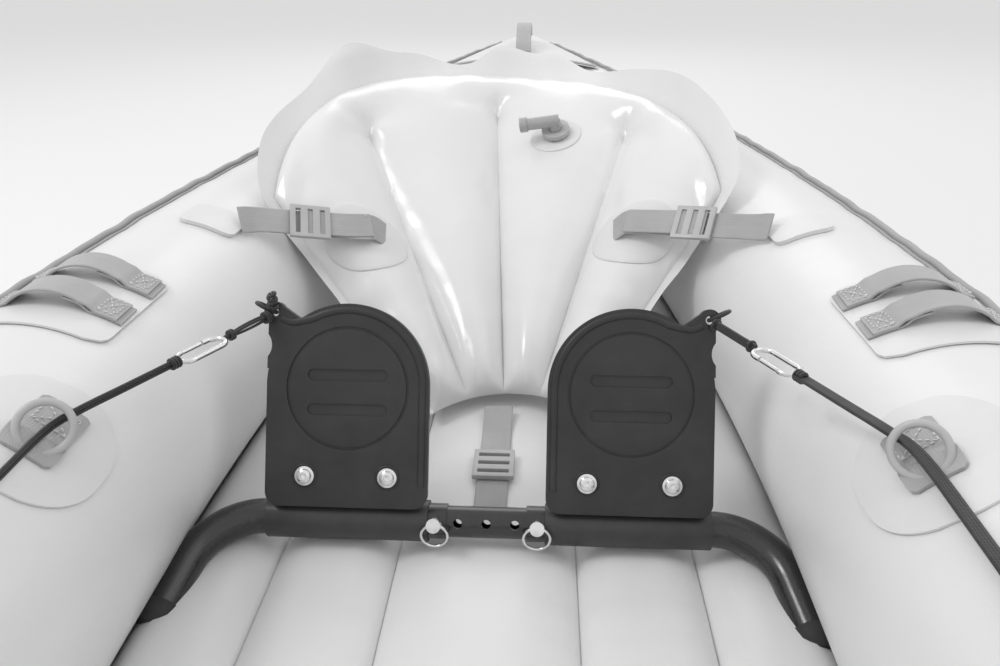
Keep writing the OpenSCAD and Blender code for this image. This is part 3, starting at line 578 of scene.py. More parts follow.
def deck(end, node):
    y0, y1 = 1690.0, 1985.0
    u, v = np.meshgrid(np.linspace(0, 1, 40), np.linspace(-1, 1, 49), indexing="ij")
    y = y0 + (y1 - y0) * u
    w = 0.85 * tape_x(y)
    crown = 12 * w / 115 * (1 - v ** 2)
    sag = 1.6 * waves(np.stack([w * v, y, 0 * y], -1), 90, 81 + end) * (1 - v ** 2) * smooth(u * 5)
    z = axis_z(y) + round_r(y) + 2.6 + crown + sag
    top = np.stack([end * w * v, end * y, z], -1)
    low = top - np.array([0, 0, 1.6])
    name = node + "_sheet"
    obj = loft(name, [np.concatenate([top, low[:, ::-1]], 1)], "patch_fabric", nodes=[node], sharp=60)
    hem = np.stack([end * w[0] * v[0], np.full(49, end * (y0 + 7)), z[0] + 0.9], 1)
    loft(node + "_hem", [sweep(even(hem[1:-1], 4), (0, 1, 0.0), strap_profile(14, 1.2, 8))], "edge_tape")
    runs = []
    for off in (2.5, 11.5):
        line = hem[2:-2] + np.array([0, end * (off - 7), 0.7])
        runs.extend(stitch_run(line, (0, 0, 1)))
    loft(node + "_hem_stitches", runs, "thread")


def grab_handle(end, node):
    v = np.linspace(0, 1, 15)
    y = 1745 + 160 * v
    z = axis_z(y) + round_r(y) + 1.6 + 16 + 30 * np.sin(PI * v) ** 0.7
    path = np.stack([0 * y, end * y, z], 1)
    webbing(node + "_webbing", [path], [(1, 0, 0)], 25, 2.8, nodes=[node])
    runs = []
    for lo, hi in ((1, 3), (11, 13)):
        for x in (-9.5, 9.5):
            line = path[lo:hi + 1] + np.array([x, 0, 1.8])
            runs.extend(stitch_run(line, (0, 0, 1)))
    loft(node + "_stitches", runs, "thread")


# ---------------------------------------------------------------- webbing and rings on the tubes
GEAR_YS = (826.0, 868.0)
RING_Y = 706.0


def stitched_box(side, y0, y1, a0, a1, off):
    """A box of stitches with a cross in it, lying on a tube."""
    corners = [(y0, a0), (y1, a0), (y1, a1), (y0, a1)]
    runs = []
    for p, q in [(0, 1), (1, 2), (2, 3), (3, 0), (0, 2), (1, 3)]:
        t = np.linspace(0, 1, 8)
        y = corners[p][0] + (corners[q][0] - corners[p][0]) * t
        a = corners[p][1] + (corners[q][1] - corners[p][1]) * t
        line = on_tube(side, y, a, off)
        up = (on_tube(side, y, a, off + 1) - line).mean(0)
        runs.extend(stitch_run(line, up))
    return runs


def gear_loops():
    patches, loops, runs = [], [], []
    for side in (LEFT, RIGHT):
        patches.append(tube_patch(side, 788, 888, 74, 122, 0.8, 1.5, corner=12))
        for y in GEAR_YS:
            a = np.concatenate([np.linspace(74.5, 84, 5), np.linspace(86, 104, 9), np.linspace(106, 119, 6)])
            lift = 9.5 * np.clip(np.sin(PI * np.clip((a - 79) / 32, 0, 1)), 0, 1) ** 0.8
            fold = 1.2 * (a > 108)
            path = on_tube(side, y + 0 * a, a, 3.6 + lift + fold)
            loops.append(sweep(even(path, 3), (0, 1, 0), strap_profile(25, 1.8)))
            a2 = np.linspace(100, 121, 8)
            lift2 = 6.5 * np.sin(PI * np.clip((a2 - 79) / 32, 0, 1)) ** 0.8
            loops.append(sweep(even(on_tube(side, y + 0 * a2, a2, 3.4 + lift2 * (a2 < 108)), 3), (0, 1, 0),
                               strap_profile(24, 1.6)))
            runs += stitched_box(side, y - 9, y + 9, 75.5, 79.5, 5.0)
            runs += stitched_box(side, y - 9, y + 9, 111.5, 117.5, 6.2)
    loft("gear_patch_skins", patches, "patch_fabric", nodes=["gear_loop_patches"])
    loft("gear_loop_webbing", loops, "grey_webbing", nodes=["gear_loops"])
    loft("gear_loop_stitches", runs, "thread")


def line_rings():
    patches, tabs, runs = [], [], []
    for side in (LEFT, RIGHT):
        patches.append(tube_patch(side, RING_Y - 52, RING_Y + 38, LINE_ANGLE - 26, LINE_ANGLE + 22, 0.4, 1.5,
                                  corner=40, ny=40))
        bump = lambda u, v: 4.6 * np.exp(-((u + 0.55) / 0.28) ** 2)
        tabs.append(tube_patch(side, RING_Y - 26, RING_Y + 20, LINE_ANGLE - 8, LINE_ANGLE + 8, 2.2, 1.8, lift=bump,
                               corner=3))
        runs += stitched_box(side, RING_Y - 2, RING_Y + 15, LINE_ANGLE - 5.5, LINE_ANGLE + 5.5, 4.4)
    loft("line_ring_patch_skins", patches, "patch_fabric", nodes=["line_ring_patches"])
    loft("line_ring_tabs", tabs, "grey_webbing")
    loft("line_ring_stitches", runs, "thread")
    for node in ("left_line_ring", "right_line_ring"):
        refined(node, 0, mat="grey_plastic")


def stern_guides():
    sets, runs = [], []
    for side in (LEFT, RIGHT):
        for y in (60.0, -560.0, -1160.0):
            a = np.linspace(LINE_ANGLE - 15, LINE_ANGLE + 15, 25)
            lift = 11 * np.clip(np.cos((a - LINE_ANGLE) / 9 * PI / 2), 0, 1) * (np.abs(a - LINE_ANGLE) < 9)
            sets.append(sweep(even(on_tube(side, y + 0 * a, a, 1.5 + lift), 2.5), (0, 1, 0), strap_profile(20, 1.8)))
            for mid in (LINE_ANGLE - 12.5, LINE_ANGLE + 12.5):
                runs += stitched_box(side, y - 7, y + 7, mid - 2, mid + 2, 2.8)
    loft("stern_guide_webbing", sets, "grey_webbing", nodes=["stern_line_guides"])
    loft("stern_guide_stitches", runs, "thread")


# ---------------------------------------------------------------- bow cushion
APEX, LEAN, FAN_TURN = np.array([10.0, 880.0, 48.0]), math.radians(27.1), -3.5
FAN_IN, FAN_OUT, FAN_SIDE, FAN_HALF, FAN_LIP, LIP_A, FAN_CURL = 100.0, 552.0, 330.0, 38.0, 32.0, 2.0, 0.0018
PATCH_A, PATCH_R, VALVE_A, VALVE_R = 28.0, 272.0, 8.9, 412.0
FOLD_SHARE, FOLD_JOIN = 0.83, 0.10


def fan_rim(a):
    """The outline is an arch: longest in the middle, shorter over the side tubes."""
    return FAN_SIDE + (FAN_OUT - FAN_SIDE) * np.maximum(0, np.cos(np.radians(2.25 * np.asarray(a, float)))) ** 1.1


def fan_point(a, r, h):
    a, r, h = np.broadcast_arrays(np.asarray(a, float), np.asarray(r, float), np.asarray(h, float))
    x, s = r * np.sin(np.radians(a + FAN_TURN)), r * np.cos(np.radians(a + FAN_TURN))
    up = h + FAN_CURL * (APEX[0] + x) ** 2
    return APEX + np.stack([x, s * math.cos(LEAN) - up * math.sin(LEAN), s * math.sin(LEAN) + up * math.cos(LEAN)], -1)


def fan_height(a, r, back=0):
    """Half thickness of the cushion: four radial chambers that run together beyond the ends of the folds."""
    a, r = np.broadcast_arrays(np.asarray(a, float), np.asarray(r, float))
    rim = fan_rim(a)
    q = (r - FAN_IN) / (rim - FAN_IN)
    inside = (np.abs(a) < FAN_HALF) & (q < 1) & (q > -0.001)
    env = np.maximum(0, 1 - np.abs(2 * np.clip(q, 0, 1) - 1) ** 5) ** 0.5
    chamber = np.abs(np.sin(PI * (a + FAN_HALF) / (FAN_HALF / 2)))
    joined = smooth((q - FOLD_SHARE) / FOLD_JOIN)
    side_in = np.maximum(0, 1 - (np.abs(a) / FAN_HALF) ** 9) ** 0.5
    full = chamber ** 0.7 * (1 - joined) + joined
    h = 1.2 + env * side_in * (7.0 + 24 * full)
    arc = np.radians(a) * r
    edge_out = rim - r
    creases = 2.4 * smooth(edge_out / 9) * pucker(arc, edge_out, 52, 30, 91 + back)
    edge_in = r - FAN_IN
    creases += 1.3 * smooth(edge_in / 8) * pucker(arc, edge_in, 17, 26, 95 + back)
    edge_side = (FAN_HALF - np.abs(a)) * PI / 180 * r
    creases += 1.6 * smooth(edge_side / 9) * pucker(r + 9 * np.sign(a), edge_side, 46, 26, 99 + back)
    for k, s in enumerate((-FAN_HALF / 2, 0.0, FAN_HALF / 2)):
        away = np.abs(a - s) * PI / 180 * r
        creases += 0.6 * smooth(away / 6) * (1 - joined) * pucker(r + 17 * k, away, 44, 12, 103 + k + back)
        end = FAN_IN + FOLD_SHARE * (fan_rim(s) - FAN_IN) + 10
        dx, dr = arc - math.radians(s) * r, r - end
        dist, turn = np.hypot(dx, dr), np.arctan2(dx, dr)
        creases += 3.0 * np.exp(-dist / 36) * np.cos(3 * turn + 0.6 * k) * smooth(dist / 12)
        creases -= 5.5 * np.exp(-(dx / 9) ** 2 - ((r - end) / 22) ** 2)
    return np.where(inside, h + creases * env, 0.8)


def fan_lift(a, r):
    """The welded lip stands in slow waves, higher towards its edge."""
    rim = fan_rim(a)
    out_r = np.clip((r - rim) / FAN_LIP, 0, 1)
    out_a = np.clip((np.abs(a) - FAN_HALF) / LIP_A, 0, 1)
    arc = np.radians(a) * r
    wave = 5.5 * np.sin(arc / 27.0 + 0.7) + 3.0 * np.sin(arc / 12.3 + 2.1) + 10.0
    side_wave = 2.6 * np.sin(r / 17.0 + np.sign(a)) + 1.2 * np.sin(r / 8.7) + 2.0
    return out_r * wave + out_a * side_wave * (1 - out_r)


def bow_cushion():
    mid = np.linspace(-1, 1, 141)
    a_in = FAN_HALF * (0.35 * np.sin(mid * PI / 2) + 0.65 * mid)
    a = np.concatenate([-FAN_HALF - LIP_A * np.linspace(1, 0.1, 6), a_in, FAN_HALF + LIP_A * np.linspace(0.1, 1, 6)])
    q = np.concatenate([[0, 0.006, 0.014], np.linspace(0.025, 0.975, 116), [0.985, 0.993, 1.0]])
    lip = np.linspace(0.1, 1, 10)
    rim = fan_rim(a)
    arc = np.radians(a) * rim
    corner = np.sqrt(np.clip(1 - (np.maximum(0, np.abs(a) - 33) / 7.4) ** 2, 0, 1))
    scallop = (1 + 0.2 * np.sin(arc / 31) + 0.12 * np.sin(arc / 13 + 1)) * corner
    r = np.concatenate([FAN_IN + q[:, None] * (rim - FAN_IN)[None, :],
                        rim[None, :] + FAN_LIP * lip[:, None] * scallop[None, :]])
    aa = np.broadcast_to(a[None, :], r.shape)
    ruffle = 4.5 + 3.4 * np.sin(arc / 26 + 0.7) + 1.6 * np.sin(arc / 9.5)
    lift = fan_lift(aa, r) + np.concatenate([0 * q, lip])[:, None] ** 1.5 * ruffle[None, :]
    top = fan_point(aa, r, lift + fan_height(aa, r))
    low = fan_point(aa, r, lift - 0.5 * fan_height(aa, r, 50))
    skin = np.concatenate([low, top[::-1]]).transpose(1, 0, 2)
    obj = loft("bow_cushion_skin", [skin], "cushion_fabric", nodes=["bow_cushion"], sharp=80)
    return obj


def fan_disc(a, r, d, t):
    """A round welded patch that follows the swollen cushion."""
    rings = []
    for share, up in ((1.0, 0.1), (1.0, 0.8 * t), (0.985, t), (0.9, t), (0.75, t), (0.5, t), (0.25, t), (0.02, t)):
        g = np.linspace(0, 2 * PI, 56, endpoint=False)
        dx, dr = d / 2 * share * np.cos(g), d / 2 * share * np.sin(g)
        r1 = np.hypot(r + dr, dx)
        a1 = a + np.degrees(np.arctan2(dx, r + dr))
        rings.append(fan_point(a1, r1, fan_height(a1, r1) + up))
    return np.array(rings)


def side_strap_path(side):
    return np.array([fan_point(side * (PATCH_A - 2), PATCH_R, 42), fan_point(side * (PATCH_A + 1), PATCH_R, 42.5),
                     (side * 208, 1022, 236), (side * 228, 1005, 242)])


def cushion_fittings():
    discs = [fan_disc(side * PATCH_A, PATCH_R, 76, 1.3) for side in (LEFT, RIGHT)]
    discs.append(fan_disc(VALVE_A, VALVE_R, 54, 1.3))
    loft("cushion_patch_skins", discs, "patch_fabric", nodes=["cushion_patches"])
    straps = []
    for side in (LEFT, RIGHT):
        p = side_strap_path(side)
        across = (0, 0.8, 0.6)
        inner = fan_point(side * (PATCH_A - 4.2), PATCH_R, fan_height(side * (PATCH_A - 4.2), PATCH_R) + 3.2)
        straps.append(sweep(even(np.vstack([inner, p]), 3), across, strap_profile(25, 1.8)))
        up = np.array([0, -1.6, 2.2])
        tail = [p[0] + up, p[1] * 0.8 + p[2] * 0.2 + up, p[1] * 0.35 + p[2] * 0.65 + up * 1.2]
        straps.append(sweep(even(tail, 3), across, strap_profile(24.4, 1.6)))
    loft("cushion_side_webbing", straps, "grey_webbing", nodes=["cushion_side_straps"])
    anchors = [tube_patch(side, 985, 1025, 96, 122, 0.4, 3.4, corner=8) for side in (LEFT, RIGHT)]
    loft("side_strap_anchors", anchors, "patch_fabric")
    for node in ("cushion_side_buckles", "floor_strap_buckle"):
        refined(node, 0.7, mat="grey_plastic")
    ys = np.array([822, 850, 876, 902, 930, 958.0])
    z = floor_z(ys) + CROWN_T * full_r(ys) / TUBE_R + 2.0 + np.array([0, 0, 0, 0, 0, 6.0])
    path = np.stack([0 * ys, ys, z], 1)
    webbing("cushion_floor_webbing", [path], [(1, 0, 0)], 25, 1.8, nodes=["cushion_floor_strap"], step=3)
    refined("cushion_valve_base", 0.5, mat="grey_plastic")
    refined("cushion_valve_elbow", 0.5, mat="valve_plastic")


# ---------------------------------------------------------------- foot brace
PAD_LEAN, BAR = math.radians(27), np.array([0.0, 796.0, 91.0])
PEDAL_X, PAD_W, PAD_H, PAD_FRONT, PAD_T, PAD_RISE = 98.0, 114.0, 142.0, 17.0, 7.0, 11.0
EAR_X, EAR_H = 52.5, 135.0


def pad_point(side, x, h, n):
    """A point in a pedal pad's own plane: x across, h up from its foot, n out of its face."""
    up = np.array([0, math.sin(PAD_LEAN), math.cos(PAD_LEAN)])
    out = np.array([0, -math.cos(PAD_LEAN), math.sin(PAD_LEAN)])
    base = BAR + np.array([side * PEDAL_X, 0, 0])
    x, h, n = np.broadcast_arrays(np.asarray(x, float), np.asarray(h, float), np.asarray(n, float))
    return base + side * x[..., None] * np.array([1.0, 0, 0]) + (PAD_RISE + h)[..., None] * up + n[..., None] * out


def pad_rims(side, name, body):
    """The moulded bead round the pad's arch and down its inner edge, and the ridge under the screws."""
    inset, half, spring = 4.6, PAD_W / 2, PAD_H - PAD_W / 2
    turn = np.radians(np.linspace(180, 62, 40))
    x = np.concatenate([np.full(14, -(half - inset)), (half - inset) * np.cos(turn)])
    h = np.concatenate([np.linspace(16, spring, 15)[:-1], spring + (half - inset) * np.sin(turn)])
    x, h = np.append(x, [34.0, 41.0, 47.5]), np.append(h, [129.0, 128.4, 131.0])
    path = even(pad_point(side, x, h, PAD_FRONT - 0.2), 2.5)
    up = pad_point(side, 0.0, 0.0, 1.0) - pad_point(side, 0.0, 0.0, 0.0)
    d = np.gradient(path, axis=0)
    across = np.cross(up, d)
    sets = [sweep(path, across, [(2.6 * math.cos(g), 1.5 * math.sin(g)) for g in np.linspace(2 * PI, 0, 14, endpoint=False)])]
    for hole in (-29.0, 29.0):
        ring = []
        for rad, n in ((8.6, PAD_FRONT - 0.4), (8.6, PAD_FRONT + 0.35), (8.2, PAD_FRONT + 0.7), (7.4, PAD_FRONT + 0.7),
                       (7.1, PAD_FRONT + 0.3), (7.1, PAD_FRONT - 0.4)):
            g = np.linspace(0, 2 * PI, 48, endpoint=False)
            ring.append(pad_point(side, hole + rad * np.cos(g), 21.5 + rad * np.sin(g), n))
        sets.append(np.array(ring))
    loft(name, sets, "black_pad", body=body)


def weld_beads(side, name, body):
    """A weld bead between the pedal's plate and its sleeve."""
    rng = np.random.default_rng(7 + side)
    sets = []
    x = np.linspace(-44, 44, 60)
    lump = 1.5 + 0.35 * np.sin(x * 2.1) + 0.1 * rng.normal(size=60)
    path = pad_point(side, x, -8.6, 5.2)
    side_dir, out_dir = frames(path, (0, 0, 1))
    g = np.linspace(2 * PI, 0, 10, endpoint=False)
    ring = path[:, None] + (side_dir[:, None] * np.cos(g)[None, :, None] + out_dir[:, None] * np.sin(g)[None, :, None]) \
        * lump[:, None, None]
    sets.append(ring)
    loft(name, sets, "black_sleeve", body=body)


def foot_brace():
    refined("center_tube", 0.25, 1, mat="black_tube", sharp=30)
    for node in ("left_leg_tube", "right_leg_tube"):
        refined(node, 0.0, mat="black_tube", sharp=30)
    refined("leg_tube_feet", 0.6, mat="black_rubber")
    for side, word in ((LEFT, "left"), (RIGHT, "right")):
        refined(word + "_pedal_sleeve", 0.4, 2, mat="black_sleeve", sharp=32)
        refined(word + "_pedal_pad", 1.0, 3, mat="black_pad", sharp=32)
        body = NODES[word + "_pedal_pad"]["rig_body"]
        pad_rims(side, word + "_pad_rim", body)
        weld_beads(side, word + "_pedal_weld", body)
        refined(word + "_pedal_screws", 0.25, 2, mat="bright_metal")
        refined(word + "_lock_pin", 0.4, 2, mat="bright_metal")
        refined(word + "_pin_ring", 0, mat="bright_metal")


# ---------------------------------------------------------------- steering lines
CLIP_FROM, CLIP_LEN, LINE_OFF, RING_OFF = 50.0, 35.0, 5.6, 13.0
CLIP_NEAR, CLIP_FAR = CLIP_FROM - 2.4, CLIP_FROM + CLIP_LEN + 2.4
POST_Y, POST_Z, ARM_X = -2054.0, 262.0, 60.0
STOPS = [(y, LINE_ANGLE, LINE_OFF) for y in (640, 480, 270, 60, -150, -355, -560, -760, -960)] + [
    (-1160, 127, LINE_OFF), (-1340, 120, LINE_OFF), (-1500, 110, LINE_OFF), (-1640, 98, 8.5), (-1760, 86, 10.5),
    (-1860, 74, 11), (-1950, 62, 11)]


def plain_on_tube(side, y, angle, off):
    a = math.radians(angle)
    y = np.array(float(y))
    return np.array([side * max(0.4, float(axis_x(y)) + (float(round_r(y)) + off) * math.cos(a)), float(y),
                     float(axis_z(y)) + (float(round_r(y)) + off) * math.sin(a)])


def ear(side):
    return pad_point(side, EAR_X, EAR_H, PAD_FRONT - PAD_T + PAD_T / 2)


def ring_center(side):
    return plain_on_tube(side, RING_Y - 12, LINE_ANGLE, RING_OFF)


def line_dir(side):
    v = ring_center(side) - ear(side)
    return v / np.linalg.norm(v)


def ear_cords():
    for node in ("left_ear_loop", "right_ear_loop"):
        refined(node, 0, mat="black_cord")
    v = line_dir(LEFT)
    e = ear(LEFT)
    strands = []
    for k in range(5):
        g = 2 * PI * k / 5
        off = np.array([0, math.cos(g), math.sin(g)])
        swell = [0.8, 2.0, 2.4, 2.0, 1.2, 0.7]
        at = [6, 14, 24, 34, 42, CLIP_NEAR + 1.5]
        strands.append(sweep(even([e + v * d + off * s for d, s in zip(at, swell)], 2), (0.1, 0.2, 1), round_profile(1.9, 1.9, 8)))
    for d, rad in ((9.0, 3.4), (11.2, 3.5), (41.5, 2.9), (43.4, 2.9)):     # whipping turns at both ends
        strands.append(turn_of_cord(e + v * d, v, rad, 1.0))
    loft("left_ear_strands", strands, "black_cord", body=NODES["left_ear_cord"]["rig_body"], nodes=["left_ear_cord"])
    knot, body = [], NODES["left_pedal_pad"]["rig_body"]
    top = pad_point(LEFT, EAR_X + 1.0, EAR_H + 4.5, PAD_FRONT + 1.6)
    for k, (lift, rad) in enumerate(((0.0, 3.2), (2.6, 3.0), (5.2, 2.8), (7.8, 2.4))):
        tilt = np.array([0.35 * (-1) ** k, -0.2, 1.0])
        knot.append(turn_of_cord(top + np.array([0, 0.4 * k, lift]), tilt / np.linalg.norm(tilt), rad, 1.25))
    loft("left_ear_knot", knot, "black_cord", body=body)
    v, e = line_dir(RIGHT), ear(RIGHT)
    flat = sweep(even([e + v * d for d in (6, 16, 31, CLIP_NEAR + 1)], 2), (0, 0, 1), strap_profile(6.5, 2.2, 8))
    loft("right_ear_webbing", [flat, turn_of_cord(e + v * 44, v, 3.0, 1.2), turn_of_cord(e + v * 8, v, 3.2, 1.2)],
         "black_webbing", body=NODES["right_ear_strap"]["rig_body"], nodes=["right_ear_strap"])


def turn_of_cord(centre, axis, rad, r, sides=8, steps=28):
    """One closed turn of thin cord round an axis."""
    axis = axis / np.linalg.norm(axis)
    one = np.cross(axis, (0.3, 0.2, 1.0))
    one /= np.linalg.norm(one)
    two = np.cross(axis, one)
    g = np.linspace(0, 2 * PI * 0.97, steps)
    spine = centre + rad * (np.cos(g)[:, None] * one + np.sin(g)[:, None] * two)
    spokes = np.cos(g)[:, None] * one + np.sin(g)[:, None] * two
    k = np.linspace(0, 2 * PI, sides, endpoint=False)
    return spine[:, None] + r * (spokes[:, None] * np.cos(k)[None, :, None] + axis * np.sin(k)[None, :, None])


def steering_lines():
    """Each line is three pieces, end to end: from the carabiner, along the hull, and to the rudder arm."""
    for side, word in ((LEFT, "left"), (RIGHT, "right")):
        start = ear(side) + line_dir(side) * CLIP_FAR
        ring = ring_center(side)
        first = start + (ring - start) * 0.45
        body = [first, start + (ring - start) * 0.75, ring - (0, 0, 2)] + [plain_on_tube(side, *s) for s in STOPS]
        arm = np.array([side * ARM_X, POST_Y + 9, POST_Z + 10.5])
        whole = even([start - line_dir(side) * 1.5] + body + [arm + (0, -4, 0)], 7)
        near = int(np.argmin(np.linalg.norm(whole - first, axis=1)))
        late = int(np.argmin(np.abs(whole[:, 1] + 1860)))
        parts = {"front": whole[:near + 1], "along": whole[near:late + 1], "rear": whole[late:]}
        pair = {"front": (word + "_clip", word + "_pedal", whole[0], whole[near]),
                "along": (word + "_pedal", "root", whole[near], ring),
                "rear": ("root", "rudder", plain_on_tube(side, *STOPS[-2]), arm)}
        for part, pts in parts.items():
            if side == LEFT:          # a doubled cord
                strands = [[(x * 1.0 + dx, y) for x, y in round_profile(2.5, 2.5, 8)] for dx in (-1.35, 1.35)]
                sets = [sweep(pts, (0.1, 0.2, 1), prof) for prof in strands]
                mat = "black_cord"
            else:                     # a flat strap that lies on its side
                turned = [(y, x) for x, y in reversed(strap_profile(8, 2.0, 8))]
                sets = [sweep(pts, (0, 0, 1), turned)]
                mat = "black_webbing"
            obj = loft(f"{word}_line_{part}", sets, mat, body=None,
                       nodes=[word + "_steering_line"] if part == "along" else ())
            a, b, s, e = pair[part]
            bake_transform(obj, a, b, tuple(np.asarray(s) * MM), tuple(np.asarray(e) * MM))
        refined(word + "_carabiner", 0, mat="bright_metal")
        refined(word + "_carabiner_gate", 0.2, 1, mat="bright_metal")
        clip_ties(side, word)


def clip_ties(side, word):
    """The turns of cord that hold the line on the carabiner's far end."""
    v = line_dir(side)
    base = ear(side) + v * CLIP_FAR
    turns = [turn_of_cord(base + v * d, v, 2.9, 1.15) for d in (-1.0, 1.2, 3.4)]
    loft(f"{word}_line_tie", turns, "black_cord", body=word + "_clip")


# ---------------------------------------------------------------- seat
SEAT_Y, SEAT_W, SEAT_LEN, SEAT_T = -160.0, 360.0, 400.0, 72.0
SEAT_Z = 75.0 + 38.0
BACK_FOOT, BACK_LEAN, BACK_H, BACK_W, BACK_T = np.array([0, -350.0, 155.0]), math.radians(14), 360.0, 420.0, 62.0


def plump(w, l, t, channels, shrink, seed):
    """A stuffed slab before it is blown up: rounded plan, crowned faces, and welded channels across it."""
    rows, cols = 90, 120
    v = np.sin(np.linspace(-PI / 2, PI / 2, rows))
    edge = np.maximum(0.05, np.maximum(0, 1 - np.abs(v) ** 5) ** 0.5)
    g = np.linspace(0, -2 * PI, cols, endpoint=False)
    c, s = np.cos(g), np.sin(g)
    x = w / 2 * (0.72 + 0.28 * edge)[:, None] * (np.sign(c) * np.abs(c) ** 0.45)[None, :]
    y = np.broadcast_to((l / 2 * v)[:, None], x.shape)
    z = t / 2 * edge[:, None] * (np.sign(s) * np.abs(s) ** 0.6)[None, :]
    dip = np.zeros_like(z)
    for k in channels:
        dip = np.maximum(dip, np.exp(-((y - k * l) / 9.0) ** 2))
    inner = smooth((w / 2 - np.abs(x)) / 22)
    z = z * (1 - 0.42 * dip * inner)
    z += 0.9 * waves(np.stack([x, y, z], -1), 60, seed) * inner
    for k in channels:
        away = np.abs(y - k * l)
        z += np.sign(z) * 1.1 * smooth(away / 7) * pucker(x, away, 30, 15, seed + 3) * inner
    return np.stack([x, y, z], -1) * shrink


def inflate(obj, pressure, cap, frames_to=20):
    """Blows the welded mesh up with Cloth, caps how far a point may move, and keeps the result."""
    scene = bpy.context.scene
    me = obj.data
    rest = np.array([v.co for v in me.vertices])
    mod = obj.modifiers.new("cloth", "CLOTH")
    cfg = mod.settings
    cfg.quality = 6
    cfg.mass = 0.3
    cfg.tension_stiffness = cfg.compression_stiffness = 18
    cfg.shear_stiffness = 8
    cfg.bending_stiffness = 0.6
    cfg.use_pressure = True
    cfg.uniform_pressure_force = pressure
    cfg.effector_weights.gravity = 0
    mod.collision_settings.use_collision = False
    mod.point_cache.frame_start, mod.point_cache.frame_end = 1, frames_to
    pins = obj.vertex_groups.get("pin")
    if pins:
        cfg.vertex_group_mass = "pin"
    for f in range(1, frames_to + 1):
        scene.frame_set(f)
    done = obj.evaluated_get(bpy.context.evaluated_depsgraph_get())
    moved = np.array([v.co for v in done.data.vertices])
    obj.modifiers.remove(mod)
    scene.frame_set(1)
    step = moved - rest
    size = np.linalg.norm(step, axis=1)
    step *= (np.minimum(size, cap * MM) / np.maximum(size, 1e-9))[:, None]
    me.vertices.foreach_set("co", (rest + step).astype(np.float32).ravel())
    me.update()


def seat_piece(name, node, grid, placing, body):
    pts = grid @ placing[:3, :3].T + placing[:3, 3]
    obj = loft(name, [pts], "cushion_fabric", body=None, sharp=85)
    welded = np.linalg.norm(grid[:, :, 2:3], axis=2).ravel() < 1.2
    group = obj.vertex_groups.new(name="pin")
    group.add([int(i) for i in np.nonzero(welded)[0]], 1.0, "REPLACE")
    inflate(obj, 3.0, 5)
    obj.vertex_groups.clear()
    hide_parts(node)
    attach(obj, body)
    return obj


def seat():
    flat = np.eye(4)
    flat[:3, 3] = (0, SEAT_Y, SEAT_Z)
    cushion = plump(SEAT_W, SEAT_LEN, SEAT_T, (-0.2, 0.0, 0.2), 0.975, 201)
    seat_piece("seat_cushion_skin", "seat_cushion", cushion, flat, "root")
    stand = np.eye(4)
    t = PI / 2 + BACK_LEAN
    stand[:3, :3] = [[1, 0, 0], [0, math.cos(t), -math.sin(t)], [0, math.sin(t), math.cos(t)]]
    stand[:3, 3] = BACK_FOOT + stand[:3, :3] @ np.array([0, BACK_H / 2 + 4, 0])
    back = plump(BACK_W * 0.87, BACK_H, BACK_T, (-0.18, 0.06, 0.28), 0.975, 211)
    seat_piece("seat_back_skin", "seat_back", back, stand, "seat_back")
    corner_h = 0.72 * BACK_H
    paths = []
    for side in (LEFT, RIGHT):
        top = BACK_FOOT + (side * (0.43 * BACK_W + 14), -math.sin(BACK_LEAN) * corner_h,
                           math.cos(BACK_LEAN) * corner_h)
        foot = np.array([side * 292, 90, 262.0])
        paths.append([top, (top + foot) / 2, foot, (side * 292, 130, 250.5), (side * 292, 172, 250.5)])
    for side, word, path in ((LEFT, "left", paths[0]), (RIGHT, "right", paths[1])):
        obj = webbing(word + "_seat_strap", [path], [(1, 0, 0)], 25, 1.8, body=None,
                      nodes=["seat_back_straps"] if side == LEFT else ())
        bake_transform(obj, "seat_back", "root", tuple(np.asarray(path[0]) * MM), tuple(np.asarray(path[1]) * MM))
    refined("seat_strap_buckles", 0.7, mat="grey_plastic")
    patches = [tube_patch(side, 110, 190, 74, 112, 0.4, 1.5, corner=12) for side in (LEFT, RIGHT)]
    loft("seat_patch_skins", patches, "patch_fabric", nodes=["seat_strap_patches"])


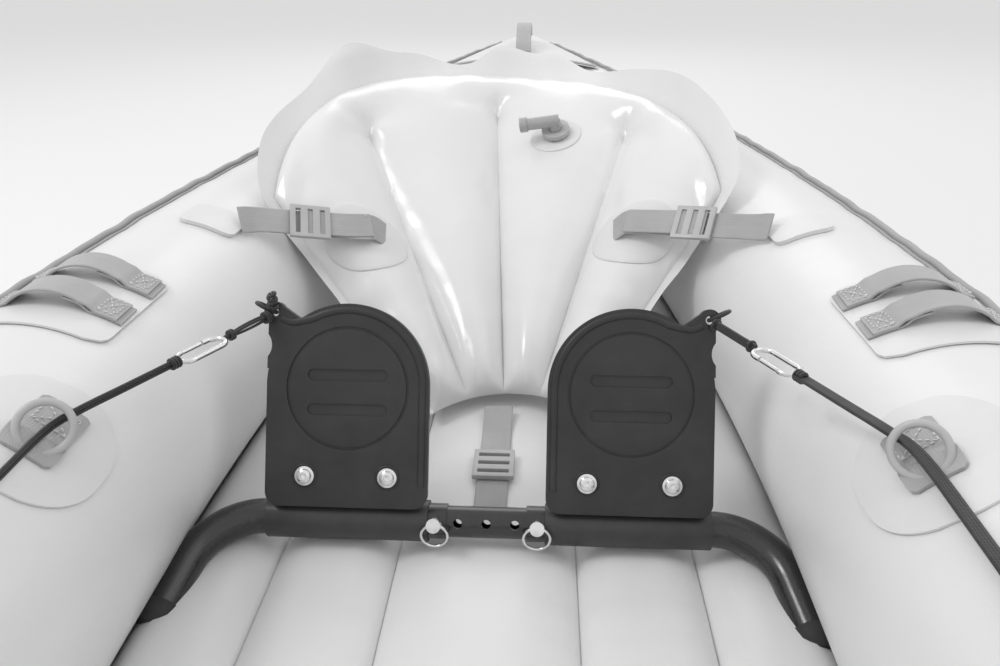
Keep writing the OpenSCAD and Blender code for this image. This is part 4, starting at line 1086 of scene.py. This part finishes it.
# ---------------------------------------------------------------- valves and rudder
def valves_and_rudder():
    for node in ("tube_valves", "floor_valve"):
        refined(node, 0.4, mat="grey_plastic")
    for node in ("rudder_bracket", "rudder_pintle", "blade_bolt"):
        refined(node, 0.5, mat="bright_metal")
    refined("rudder_head", 0.8, mat="rudder_plastic")
    refined("rudder_blade", 1.6, 3, mat="rudder_plastic")


# ---------------------------------------------------------------- stage
def stage_and_lights():
    me = bpy.data.meshes.new("floor")
    s = 30.0
    me.from_pydata([(-s, -s, 0), (s, -s, 0), (s, s, 0), (-s, s, 0)], [], [(0, 1, 2, 3)])
    floor = bpy.data.objects.new("floor", me)
    bpy.context.scene.collection.objects.link(floor)
    m = bpy.data.materials.new("pale_floor")
    m.use_nodes = True
    b = m.node_tree.nodes["Principled BSDF"]
    b.inputs["Base Color"].default_value = (0.80, 0.80, 0.80, 1)
    b.inputs["Roughness"].default_value = 0.7
    me.materials.append(m)
    world = bpy.data.worlds.new("world")
    bpy.context.scene.world = world
    world.use_nodes = True
    back = world.node_tree.nodes["Background"]
    back.inputs["Color"].default_value = (1, 1, 1, 1)
    back.inputs["Strength"].default_value = 0.86
    for name, place_at, aim, size, power in (
            ("key", (-1.9, 0.6, 2.6), (0, 0.9, 0.1), 0.9, 24), ("fill", (2.2, 1.0, 2.8), (0, 0.9, 0.1), 2.4, 8),
            ("ahead", (0.0, 3.6, 1.9), (0, 0.9, 0.2), 1.4, 8)):
        data = bpy.data.lights.new(name, "AREA")
        data.size, data.energy = size, power
        lamp = bpy.data.objects.new(name, data)
        lamp.location = place_at
        lamp.rotation_mode = "QUATERNION"
        lamp.rotation_quaternion = (Vector(place_at) - Vector(aim)).to_track_quat("Z", "Y")
        bpy.context.scene.collection.objects.link(lamp)
    bpy.context.scene.view_settings.view_transform = "Standard"


steering_lines()
ear_cords()
side_tube(LEFT, "left_side_tube")
side_tube(RIGHT, "right_side_tube")
floor_chambers()
edge_tapes()
deck(1, "bow_deck")
deck(-1, "stern_deck")
grab_handle(1, "bow_handle")
grab_handle(-1, "stern_handle")
gear_loops()
line_rings()
stern_guides()
bow_cushion()
cushion_fittings()
foot_brace()
seat()
valves_and_rudder()
stage_and_lights()
